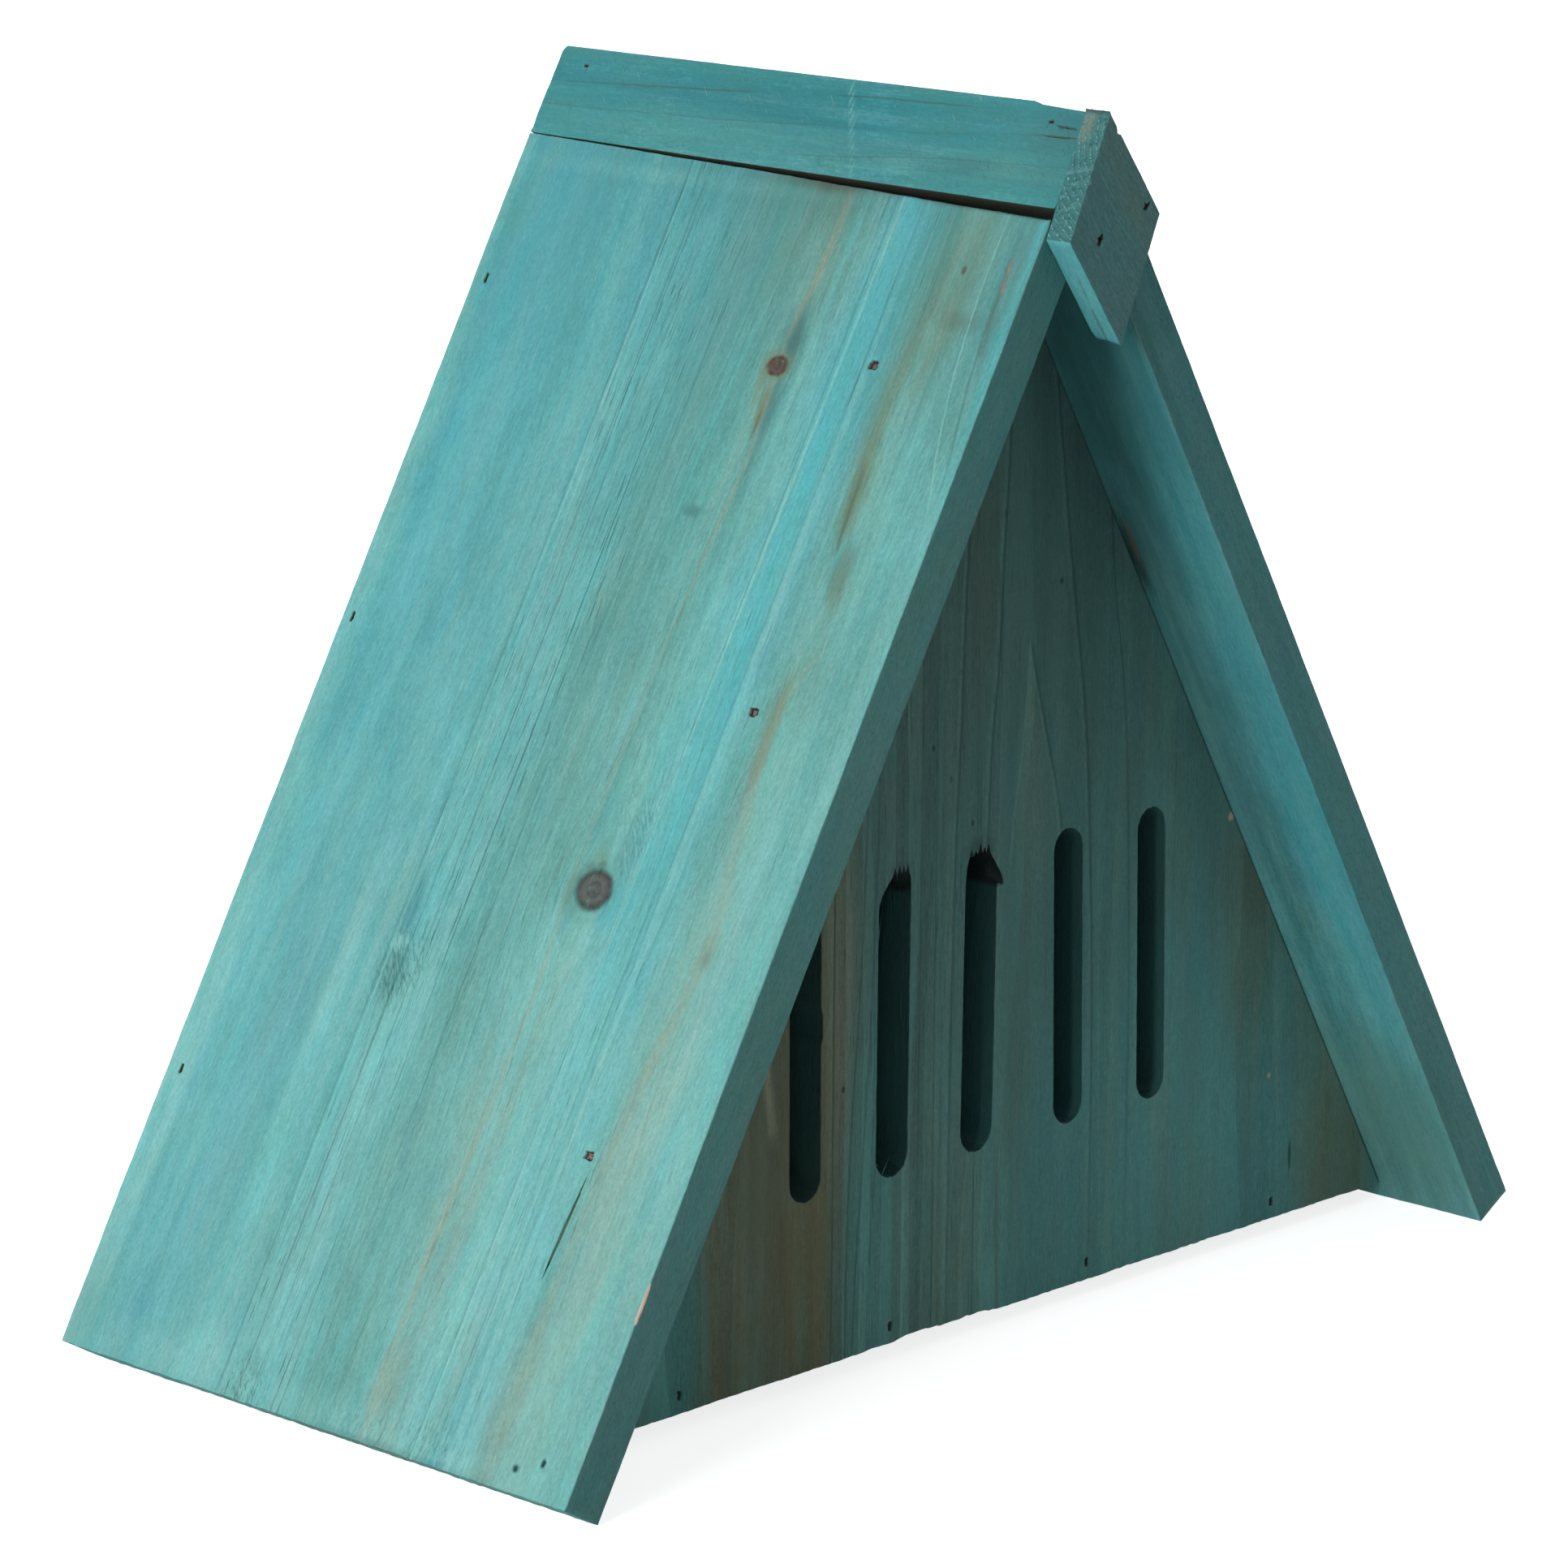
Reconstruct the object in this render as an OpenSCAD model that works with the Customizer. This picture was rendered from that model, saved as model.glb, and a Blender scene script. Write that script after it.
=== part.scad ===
// Butterfly house: a small A-frame of two roof boards on two triangular gables, with a floor between
// the gables, five slots in the front gable and a ridge cap of two strips with an end plate.
// The house stands on the lower edges of its roof boards. X runs across, Y from front to back, Z up.

/* [Roof] */
// Angle between the two slopes at the ridge, in degrees
apex_angle = 60; // [54:1:70]
// Length of a slope, from the ridge line to the outer lower corner
roof_slope = 276; // [240:1:330]
// Depth of the roof from front to back
roof_depth = 140; // [110:1:200]
// Thickness of the roof boards
roof_thickness = 10; // [8:0.5:12]

/* [Ridge cap] */
// Width of a ridge strip at the back, from the ridge line to its lower edge
cap_width_back = 19.2; // [17:0.1:22]
// Width of a ridge strip at the front: the strips are ripped a little out of parallel
cap_width_front = 20.8; // [17:0.1:23]
// Thickness of the ridge strips
cap_thickness = 6.6; // [4:0.1:8]
// Gap between strip and roof board at the front, where the cap doesn't close; it shuts at the back
seam_gap_front = 1.9; // [0:0.1:4]

/* [Ridge end plate] */
// Side of the diamond-shaped plate
plate_side = 25.7; // [23:0.1:32]
// Thickness of the plate
plate_thickness = 6; // [4:0.5:9]
// How far the plate is turned out of true, anticlockwise from the front, in degrees
plate_turn = 5.6; // [0:0.2:9]

/* [Gables] */
// Recess of the front gable behind the front edges of the roof
gable_recess = 25; // [12:0.5:40]
// Thickness of the gables
gable_thickness = 10; // [8:0.5:14]
// Height of the gables' lower edges above the surface the house stands on
gable_lift = 3.7; // [1:0.1:12]

/* [Floor] */
// Thickness of the floor board
floor_thickness = 8; // [6:0.5:12]

/* [Slots] */
// Number of slots
slot_count = 5; // [1:1:5]
// Distance between the middles of neighbouring slots
slot_pitch = 25; // [16:0.5:26]
// Width of a slot
slot_width = 8.6; // [6:0.1:12]
// Length of a slot over its round ends
slot_length = 60; // [30:1:70]
// Height of the slots' lower ends above the gable's lower edge
slot_lift = 34.3; // [20:0.1:44]

/* [Brads] */
// Length of the brads in the roof and the floor
brad_length = 25; // [20:0.5:27]
// Length of the brads that join the ridge strips
ridge_brad_length = 15; // [11:0.5:16]
// Length of the brads in the ridge end plate
plate_brad_length = 20; // [14:0.5:25]
// Wide side of a brad's head
head_width = 2; // [1.6:0.1:2.4]
// Narrow side of a brad's head
head_depth = 1.2; // [1.1:0.1:1.4]
// Height of a brad's head
head_height = 0.8; // [0.4:0.1:1.2]
// How far the heads are set below the wood
head_set = 0.7; // [0.2:0.1:1.5]
// Wide side of a brad's shank
shank_width = 1.2; // [1:0.1:1.4]
// Narrow side of a brad's shank
shank_depth = 1; // [0.8:0.1:1.1]
// Length of the chisel point
point_length = 2; // [1:0.1:3]

/* [Places of the brads] */
// Top brad of the front rows, below the ridge line along the slope
front_top = 56; // [48:0.5:70]
// From the top to the middle brad of the front rows
front_step = 69.7; // [50:0.1:90]
// Lowest brad of the front rows, above the lower end of the board
front_end = 62.7; // [30:0.1:80]
// Top, middle and lowest brad of the front rows, behind the gable's front face where they enter
front_inset = [4.1, 1.3, 0.4]; // [0.1:0.1:9]
// Top brad of the back rows, below the ridge line along the slope
back_top = 50.6; // [48:0.1:70]
// From the top to the middle brad of the back rows
back_step = 73.1; // [50:0.1:90]
// Lowest brad of the back rows, above the lower end of the board
back_end = 57.3; // [30:0.1:80]
// Top, middle and lowest brad of the back rows, in front of the roof's back edge
back_inset = [3.8, 3.4, 4.9]; // [1.5:0.1:8]
// Number of brads from a gable into the floor
floor_brads = 4; // [1:1:4]
// Distance between those brads
floor_step = 58; // [30:0.5:60]
// How far their row sits to the right of the middle, seen from the front
floor_shift = 3.7; // [-6:0.1:6]
// Distance of the ridge brads from the ends of the strips
ridge_inset = 8.5; // [4:0.5:20]
// Depth of the left plate brad inside the roof's outer face
plate_brad_left = 8.1; // [4:0.1:8.6]
// Depth of the right plate brad inside the roof's outer face
plate_brad_right = 2; // [1.6:0.1:4]
// Lean of the plate brads along the slopes, in degrees
plate_brad_lean = 12; // [10:0.5:16]

/* [Hidden] */

half_angle = apex_angle / 2;
// Height of the ridge line above the surface the house stands on
ridge_height = roof_slope * cos(half_angle) + roof_thickness * sin(half_angle);
// Middle of the house from front to back, counted from the front edges of the roof
mid_y = (roof_depth - plate_thickness) / 2;
// The inner faces of the roof boards would meet this far below the ridge line
inner_apex = roof_thickness / sin(half_angle);
gable_bottom = ridge_height - gable_lift;
back_gable_y = roof_depth - gable_thickness;
floor_y = gable_recess + gable_thickness;
floor_length = back_gable_y - floor_y;
// Slopes measured from the ridge line to the top ends of the roof boards
board_top_back = cap_width_back;
board_top_front = cap_width_front + seam_gap_front;
// Places of the brads along a slope
front_drop = [front_top, front_top + front_step, roof_slope - front_end];
back_drop = [back_top, back_top + back_step, roof_slope - back_end];
floor_first = floor_shift - floor_step * (floor_brads - 1) / 2;
// Ridge brads start where they meet the right strip in the middle of its thickness
ridge_brad_drop = cap_thickness / 2 / sin(apex_angle);
plate_middle = plate_side * cos(half_angle) * cos(plate_turn);
// Cutting shapes run past the wood by this much
over = 1;

roof_colour = [0.42, 0.70, 0.69];
gable_colour = [0.19, 0.37, 0.37];
ridge_colour = [0.26, 0.55, 0.57];
plate_colour = [0.20, 0.36, 0.38];
brad_colour = [0.55, 0.52, 0.50];

function unit(v) = v / norm(v);
// Half the width between the roof boards at a depth below the ridge line
function half_width(depth) = (depth - inner_apex) * tan(half_angle);

// From the ridge line at the front edge of the roof to the part's own origin on the ground
module from_ridge() {
    translate([0, -mid_y, ridge_height]) children();
}

// A slope's own frame: X down the slope, Y to the back, Z into the wood
module on_left_slope() {
    rotate([0, 90 + half_angle, 0]) children();
}

module on_right_slope() {
    mirror([1, 0, 0]) on_left_slope() children();
}

// Stands a flat outline up, facing the front, with its front face at y
module upright(y, thickness) {
    translate([0, y + thickness, 0]) rotate([90, 0, 0]) linear_extrude(height = thickness) children();
}

// A brad along +Z, with the wood's surface at zero
module brad(length) {
    translate([-head_width / 2, -head_depth / 2, head_set]) cube([head_width, head_depth, head_height]);
    rotate([90, 0, 0]) linear_extrude(height = shank_depth, center = true)
        polygon([[-shank_width / 2, head_set], [shank_width / 2, head_set],
                 [shank_width / 2, length - point_length], [0, length],
                 [-shank_width / 2, length - point_length]]);
}

// What a brad cuts in the wood: itself and the pit that the gun leaves over its head
module brad_hole(length) {
    brad(length);
    translate([-head_width / 2, -head_depth / 2, -over]) cube([head_width, head_depth, over + head_set]);
}

// Drives what it holds from one point towards another, with the wide side along wide
module drive(from, to, wide) {
    z = unit(to - from);
    y = unit(cross(z, wide));
    x = cross(y, z);
    multmatrix([[x[0], y[0], z[0], from[0]], [x[1], y[1], z[1], from[1]], [x[2], y[2], z[2], from[2]]])
        children();
}

module brad_or_hole(hole, length) {
    if (hole) brad_hole(length);
    else brad(length);
}

// Three brads of a slope into the front gable's edge, each aimed at the middle of the gable
module front_row(hole = false) {
    for (i = [0 : 2])
        drive([front_drop[i], gable_recess + front_inset[i], 0],
              [front_drop[i], gable_recess + gable_thickness / 2, brad_length], [0, 1, 0])
            brad_or_hole(hole, brad_length);
}

module back_row(hole = false) {
    for (i = [0 : 2])
        drive([back_drop[i], roof_depth - back_inset[i], 0],
              [back_drop[i], back_gable_y + gable_thickness / 2, brad_length], [1, 0, 0])
            brad_or_hole(hole, brad_length);
}

// Brads from the outer face of a gable at y into the middle of the floor board's end, along way
module floor_row(y, way, hole = false) {
    z = floor_thickness / 2 - gable_bottom;
    for (i = [0 : floor_brads - 1]) {
        x = floor_first + i * floor_step;
        drive([x, y, z], [x, y + way, z], [0, 0, 1]) brad_or_hole(hole, brad_length);
    }
}

module front_floor_row(hole = false) {
    floor_row(gable_recess, 1, hole);
}

module back_floor_row(hole = false) {
    floor_row(roof_depth, -1, hole);
}

// Brads through the left ridge strip into the edge of the right one, along the right slope
module ridge_row(hole = false) {
    for (y = [ridge_inset, roof_depth - ridge_inset])
        on_left_slope()
            drive([ridge_brad_drop, y, 0],
                  [ridge_brad_drop + cos(apex_angle), y, sin(apex_angle)], [0, 1, 0])
                brad_or_hole(hole, ridge_brad_length);
}

// The left plate brad starts level with the top of the left roof board and leans down into it
module left_plate_brad(hole = false) {
    on_left_slope()
        drive([board_top_front, -plate_thickness, plate_brad_left],
              [board_top_front + tan(plate_brad_lean), 1 - plate_thickness, plate_brad_left], [1, 0, 0])
            brad_or_hole(hole, plate_brad_length);
}

// The right plate brad starts level with the lower edge of the right strip and leans up into it
module right_plate_brad(hole = false) {
    on_right_slope()
        drive([cap_width_front, -plate_thickness, plate_brad_right],
              [cap_width_front - tan(plate_brad_lean), 1 - plate_thickness, plate_brad_right],
              [-cos(apex_angle), 0, sin(apex_angle)])
            brad_or_hole(hole, plate_brad_length);
}

// A roof board in its slope's frame, with the top end cut a little out of square
module roof_blank() {
    linear_extrude(height = roof_thickness)
        polygon([[board_top_front, 0], [roof_slope, 0], [roof_slope, roof_depth], [board_top_back, roof_depth]]);
}

// A ridge strip in its slope's frame. Its top is bevelled along a plane parallel to the other slope,
// inset inside it
module ridge_blank(inset) {
    difference() {
        linear_extrude(height = cap_thickness)
            polygon([[0, 0], [cap_width_front, 0], [cap_width_back, roof_depth], [0, roof_depth]]);
        rotate([0, -apex_angle, 0])
            translate([-over - inset, -over, -inset])
                cube([cap_width_front + inset, roof_depth + 2 * over, cap_width_front + inset]);
    }
}

module gable_outline() {
    polygon([[0, -inner_apex], [half_width(gable_bottom), -gable_bottom],
             [-half_width(gable_bottom), -gable_bottom]]);
}

module slot_outlines() {
    radius = slot_width / 2;
    straight = slot_length - slot_width;
    low = slot_lift + radius - gable_bottom;
    for (i = [0 : slot_count - 1])
        translate([(i - (slot_count - 1) / 2) * slot_pitch, low]) {
            translate([-radius, 0]) square([slot_width, straight]);
            for (y = [0, straight])
                translate([0, y]) circle(r = radius, $fn = 48);
        }
}

module left_roof_board() {
    color(roof_colour) from_ridge() difference() {
        on_left_slope() difference() {
            roof_blank();
            front_row(hole = true);
            back_row(hole = true);
        }
        left_plate_brad(hole = true);
    }
}

module right_roof_board() {
    color(roof_colour) from_ridge() on_right_slope() difference() {
        roof_blank();
        front_row(hole = true);
        back_row(hole = true);
    }
}

module front_gable() {
    color(gable_colour) from_ridge() difference() {
        upright(gable_recess, gable_thickness) difference() {
            gable_outline();
            slot_outlines();
        }
        on_left_slope() front_row(hole = true);
        on_right_slope() front_row(hole = true);
        front_floor_row(hole = true);
    }
}

module back_gable() {
    color(gable_colour) from_ridge() difference() {
        upright(back_gable_y, gable_thickness) gable_outline();
        on_left_slope() back_row(hole = true);
        on_right_slope() back_row(hole = true);
        back_floor_row(hole = true);
    }
}

module floor_board() {
    top = gable_bottom - floor_thickness;
    color(gable_colour) from_ridge() difference() {
        upright(floor_y, floor_length)
            polygon([[-half_width(gable_bottom), -gable_bottom], [half_width(gable_bottom), -gable_bottom],
                     [half_width(top), -top], [-half_width(top), -top]]);
        front_floor_row(hole = true);
        back_floor_row(hole = true);
    }
}

module left_ridge_strip() {
    color(ridge_colour) from_ridge() difference() {
        on_left_slope() ridge_blank(0);
        ridge_row(hole = true);
    }
}

module right_ridge_strip() {
    color(ridge_colour) from_ridge() difference() {
        on_right_slope() ridge_blank(cap_thickness);
        ridge_row(hole = true);
        right_plate_brad(hole = true);
    }
}

module ridge_end_plate() {
    long = plate_side * cos(half_angle);
    short = plate_side * sin(half_angle);
    color(plate_colour) from_ridge() difference() {
        upright(-plate_thickness, plate_thickness)
            translate([0, -plate_middle]) rotate(plate_turn)
                polygon([[0, long], [-short, 0], [0, -long], [short, 0]]);
        left_plate_brad(hole = true);
        right_plate_brad(hole = true);
    }
}

module left_front_brads() {
    color(brad_colour) from_ridge() on_left_slope() front_row();
}

module left_back_brads() {
    color(brad_colour) from_ridge() on_left_slope() back_row();
}

module right_front_brads() {
    color(brad_colour) from_ridge() on_right_slope() front_row();
}

module right_back_brads() {
    color(brad_colour) from_ridge() on_right_slope() back_row();
}

module front_floor_brads() {
    color(brad_colour) from_ridge() front_floor_row();
}

module back_floor_brads() {
    color(brad_colour) from_ridge() back_floor_row();
}

module ridge_brads() {
    color(brad_colour) from_ridge() ridge_row();
}

module end_plate_brads() {
    color(brad_colour) from_ridge() {
        left_plate_brad();
        right_plate_brad();
    }
}

left_roof_board();
right_roof_board();
front_gable();
back_gable();
floor_board();
left_ridge_strip();
right_ridge_strip();
ridge_end_plate();
left_front_brads();
left_back_brads();
right_front_brads();
right_back_brads();
front_floor_brads();
back_floor_brads();
ridge_brads();
end_plate_brads();
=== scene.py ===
"""A small A-frame butterfly house of turquoise-stained boards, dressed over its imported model."""

import math
import random
from collections import namedtuple

import bmesh
import bpy
import numpy as np
from bpy.props import FloatProperty, FloatVectorProperty, IntProperty, PointerProperty
from bpy.types import Operator, Panel, PropertyGroup
from mathutils import Matrix, Vector, noise
from mathutils.geometry import delaunay_2d_cdt


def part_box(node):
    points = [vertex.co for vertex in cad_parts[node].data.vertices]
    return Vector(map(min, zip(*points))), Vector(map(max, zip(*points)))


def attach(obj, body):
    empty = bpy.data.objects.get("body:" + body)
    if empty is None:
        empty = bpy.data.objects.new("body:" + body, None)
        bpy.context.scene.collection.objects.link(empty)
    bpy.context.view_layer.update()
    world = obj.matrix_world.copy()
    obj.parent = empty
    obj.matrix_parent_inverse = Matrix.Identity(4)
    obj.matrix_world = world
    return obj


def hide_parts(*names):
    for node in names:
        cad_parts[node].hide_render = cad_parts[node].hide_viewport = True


bl_info = {
    "name": "Butterfly House",
    "version": (1, 0, 0),
    "blender": (4, 5, 0),
    "location": "3D View > Sidebar > Butterfly House",
    "description": "Builds the boards, brads and studio of a stained A-frame butterfly house",
    "category": "Object",
}

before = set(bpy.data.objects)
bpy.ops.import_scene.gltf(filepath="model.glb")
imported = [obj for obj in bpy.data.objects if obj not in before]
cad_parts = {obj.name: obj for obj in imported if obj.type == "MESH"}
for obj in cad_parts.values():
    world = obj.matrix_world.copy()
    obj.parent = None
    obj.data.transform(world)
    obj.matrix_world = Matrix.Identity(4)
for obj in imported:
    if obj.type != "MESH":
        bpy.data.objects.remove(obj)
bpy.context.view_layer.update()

# Measures of the house, in millimetres unless a line says otherwise
MM = 0.001
SLOPE = 276.0
DEPTH = 140.0
ROOF_THICKNESS = 10.0
CAP_BACK, CAP_FRONT = 19.2, 20.8
CAP_THICKNESS = 6.6
BOARD_TOP_BACK, BOARD_TOP_FRONT = 19.2, 22.7
PLATE_SIDE, PLATE_THICKNESS, PLATE_TURN = 25.7, 6.0, 5.6
GABLE_RECESS, GABLE_THICKNESS = 25.0, 10.0
GABLE_LIFT = 3.7
FLOOR_THICKNESS = 8.0
SLOT_PITCH, SLOT_WIDTH, SLOT_LENGTH, SLOT_LIFT = 25.0, 8.6, 60.0, 34.3
# Along the slope and across the roof: where the brads of the front and back rows go in
FRONT_ROW = ((56.0, 29.1), (125.7, 26.3), (213.3, 25.4))
BACK_ROW = ((50.6, 136.2), (123.7, 136.6), (218.7, 135.1))
# Across the gables: where the brads go into the floor
FLOOR_ROW = (-83.3, -25.3, 32.7, 90.7)
# Along the ridge, and how far below it: where its brads go in
RIDGE_ROW, RIDGE_ROW_DROP = (8.5, 131.5), 3.81
# Across the house and up from the ridge: the brads of the end plate
PLATE_BRADS = ((-4.3, -23.7), (8.6, -18.9))

SIN, COS = 0.5, math.sqrt(3) / 2
RIDGE_TOP = SLOPE * COS + ROOF_THICKNESS * SIN
RIDGE = Vector((0.0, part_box("left_roof_board")[0][1], RIDGE_TOP * MM))
GABLE_BOTTOM = RIDGE_TOP - GABLE_LIFT
INNER_APEX = ROOF_THICKNESS / SIN
# The photograph's camera in metres and millimetres, with its turn, fall and roll in degrees
CAMERA_PLACE, CAMERA_LENS = (-0.88414, -0.82939, 0.38857), 145.0
CAMERA_ANGLES = (46.45, 13.2, 0.29)
HOUSE_MIDDLE = Vector((0, 0, 0.12))


def half_width(drop):
    """Half the width between the roof boards at a depth below the ridge."""
    return (drop - INNER_APEX) * SIN / COS


def colour_property(name, red, green, blue, description):
    """A stain colour, given as it looks on a screen from 0 to 255."""
    return FloatVectorProperty(name=name, description=description, subtype="COLOR_GAMMA", size=3,
                               min=0.0, max=1.0, default=(red / 255, green / 255, blue / 255))


class StainColours(PropertyGroup):
    """The colours of the stain, the bare wood and the brads."""
    teal: colour_property("Teal", 82, 151, 149, "Main stain of the roof")
    # Cyan and bright cyan also paint light along the front of the right roof board's inner face
    cyan: colour_property("Cyan", 79, 153, 161, "Where the stain went on thick and blue")
    # Bright cyan also paints a highlight on the plate's long edges
    bright: colour_property("Bright cyan", 82, 170, 176, "Streaks that drank the most stain")
    grey: colour_property("Grey green", 89, 140, 132, "Where the wood's own colour dulls the stain")
    pale: colour_property("Pale", 126, 187, 182, "Worn and dry fibres")
    # Dark also paints shade on the inner face of the right roof board
    dark: colour_property("Dark", 40, 84, 84, "Dark lines of the grain")
    tan: colour_property("Tan", 146, 150, 128, "Resin streaks that took little stain")
    olive: colour_property("Olive", 104, 118, 88, "Resin that darkened the stain")
    brown: colour_property("Brown", 70, 60, 42, "Dark resin and bark")
    knot: colour_property("Knot", 84, 68, 62, "Red knots")
    knot_grey: colour_property("Grey knot", 84, 86, 84, "Weathered knots")
    rust: colour_property("Rust", 166, 112, 84, "Resin beads")
    bare: colour_property("Bare wood", 206, 184, 166, "Fresh chips")
    gable: colour_property("Gable teal", 76, 130, 129, "Main stain of the gables and the floor")
    gable_pale: colour_property("Gable pale", 100, 148, 140, "Pale growth lines of the gables")
    gable_dull: colour_property("Gable dull", 84, 118, 108, "Duller stain of the gables")
    gable_brown: colour_property("Gable brown", 94, 94, 66, "Brown heartwood in the gables")
    slate: colour_property("Slate", 62, 102, 106, "Front of the end plate")
    ridge: colour_property("Ridge", 48, 124, 126, "Main stain of the ridge strips")
    ridge_blue: colour_property("Ridge blue", 46, 121, 134, "Bluer stain of the ridge strips")
    # Pit: painted shade inside pits, cracks, slots and the gap under the ridge strips, and the dark of knot
    # rings, pores, small marks and stained brads
    pit: colour_property("Pit", 20, 30, 30, "Inside of brad pits and cracks")
    steel: colour_property("Steel", 122, 104, 94, "Brads")


class BoardWear(PropertyGroup):
    """How worn the boards are."""
    edge: FloatProperty(name="Edge wear", description="Mean radius of the worn edges", default=0.00045,
                        min=0.0001, max=0.0015, unit="LENGTH", precision=5)
    saw: FloatProperty(name="Saw marks", description="Depth of the rough sawn ends", default=0.00028,
                       min=0.0, max=0.001, unit="LENGTH", precision=5)
    relief: FloatProperty(name="Relief", description="Depth of the slow hollows in the faces",
                          default=0.00018, min=0.0, max=0.001, unit="LENGTH", precision=5)
    splinters: IntProperty(name="Splinters", description="Loose fibres on each sawn end", default=26,
                           min=0, max=120)


class StudioLight(PropertyGroup):
    """The studio round the house."""
    key: FloatProperty(name="Key light", description="Level of the large light on the left, where 1 "
                       "shows a colour as it is written", default=0.84, min=0.0, max=2.0)
    back: FloatProperty(name="Back light", description="Level of the light behind and to the right",
                        default=0.45, min=0.0, max=2.0)
    sky: FloatProperty(name="Sky", description="Level of the light from all round", default=0.27,
                       min=0.0, max=1.0)
    floor_size: FloatProperty(name="Floor", description="Side of the studio floor", default=12.0,
                              min=2.0, max=40.0, unit="LENGTH")


def linear(colour):
    """A screen colour as the linear colour with alpha that a shader takes."""
    return [c / 12.92 if c <= 0.04045 else ((c + 0.055) / 1.055) ** 2.4 for c in colour] + [1.0]


# Shapes of the boards

def wander(place, size, seed):
    """Smooth noise from -1 to 1 that changes over about size millimetres."""
    return noise.noise(Vector((place / size, seed * 7.13, 0.37)))


class Lie:
    """How a board lies in the house: where it starts, and its directions along the grain, across it
    and into the wood."""

    def __init__(self, start, along, across, into):
        self.start = Vector(start)
        self.along = Vector(along).normalized()
        self.across = Vector(across).normalized()
        self.into = Vector(into).normalized()

    def place(self, u, v, w):
        return self.start + (self.along * u + self.across * v + self.into * w) * MM


LEFT_ROOF = Lie(RIDGE, (-SIN, 0, -COS), (0, 1, 0), (COS, 0, -SIN))
RIGHT_ROOF = Lie(RIDGE, (SIN, 0, -COS), (0, 1, 0), (-COS, 0, -SIN))
LEFT_CAP = Lie(RIDGE, (0, 1, 0), (-SIN, 0, -COS), (COS, 0, -SIN))
RIGHT_CAP = Lie(RIDGE, (0, 1, 0), (SIN, 0, -COS), (-COS, 0, -SIN))
FRONT_GABLE = Lie(RIDGE + Vector((0, GABLE_RECESS * MM, 0)), (0, 0, -1), (1, 0, 0), (0, 1, 0))
BACK_GABLE = Lie(RIDGE + Vector((0, DEPTH * MM, 0)), (0, 0, -1), (1, 0, 0), (0, -1, 0))
FLOOR = Lie((0, RIDGE.y + (GABLE_RECESS + GABLE_THICKNESS) * MM, GABLE_LIFT * MM),
            (1, 0, 0), (0, 1, 0), (0, 0, 1))
PLATE_LEAN = math.radians(PLATE_TURN - 60)
PLATE = Lie(RIDGE - Vector((0, PLATE_THICKNESS * MM,
                            PLATE_SIDE * COS * math.cos(math.radians(PLATE_TURN)) * MM)),
            (math.cos(PLATE_LEAN), 0, math.sin(PLATE_LEAN)),
            (-math.sin(PLATE_LEAN), 0, math.cos(PLATE_LEAN)), (0, 1, 0))

# A point of an outline: where it is, how rough its wall is, its worn radius, how bare of stain and how
# dark its wall is painted as shade, and how far a chip moves it on the front face, or nothing
EdgePoint = namedtuple("EdgePoint", "place rough wear bare dark chip", defaults=(0.0, 0.0, None))
CHIP_DEPTH = 2.6
# From this half length a pit is a crack
CRACK_LENGTH = 3.0
# A hollow in a face: its middle, half sizes along and across the grain, turn, depth, how ragged its
# rim is, the size of its floor as a share of its rim, its points round and how dark its inside is painted
# as shade, deepening towards its floor
Pit = namedtuple("Pit", "u v long wide turn depth ragged floor count dark", defaults=(1.0,))


def brad_pit(u, v, long, wide):
    return Pit(u, v, long, wide, 0.0, 0.95, 0.4, 0.5, 18)


def side(start, end, dents, rough, wear, step=1.6, seed=0.0, extra=None, dark=0.0):
    """Points from one corner to the next, with the wood on the left. Dents only cut into it. extra
    gives more set-back, wear and bareness at a distance from the start."""
    start, end = Vector(start), Vector(end)
    run = end - start
    length = run.length
    ahead = run.normalized()
    inward = Vector((-ahead.y, ahead.x))
    nip = min(1.3, length / 16)
    count = max(2, round((length - 2 * nip) / step))
    points = []
    for i in range(count + 1):
        along = nip + (length - 2 * nip) * i / count
        cut = 0.3 + 0.6 * wander(along, 14, seed) + 0.35 * wander(along, 3.1, seed + 5)
        cut = dents * max(0.0, cut)
        worn = wear * (1 + 0.35 * wander(along, 11, seed + 2) + 0.25 * wander(along, 2.7, seed + 3))
        bare = 0.0
        if extra:
            more_cut, more_wear, bare = extra(along)
            cut += more_cut
            worn += more_wear
        points.append(EdgePoint(start + ahead * along + inward * cut, rough, max(0.08, worn), bare, dark))
    return points


def outline(corners, sides):
    """A closed outline through the corners, anticlockwise. Each side is a dict for side()."""
    loop = []
    for i, facts in enumerate(sides):
        facts = dict(facts)
        blunt = facts.pop("blunt", 0.25)
        corner_wear = facts.pop("corner_wear", 0.7)
        corner, following = Vector(corners[i]), Vector(corners[(i + 1) % len(corners)])
        before = Vector(corners[i - 1])
        bisector = ((before - corner).normalized() + (following - corner).normalized())
        made = side(corner, following, **facts)
        first = made[0]
        loop.append(first._replace(place=corner + bisector.normalized() * blunt, rough=first.rough * 0.3,
                                   wear=first.wear * corner_wear))
        loop.extend(made)
    return loop


def set_back(places, distances):
    """The loop moved towards its left, into the wood, by a distance at each point."""
    moved = []
    count = len(places)
    for i, place in enumerate(places):
        before = (place - places[i - 1]).normalized()
        after = (places[(i + 1) % count] - place).normalized()
        normal = Vector((-(before.y + after.y), before.x + after.x)).normalized()
        stretch = 1 / max(0.7, normal.dot(Vector((-after.y, after.x))))
        moved.append(place + normal * distances[i] * stretch)
    return moved


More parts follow.
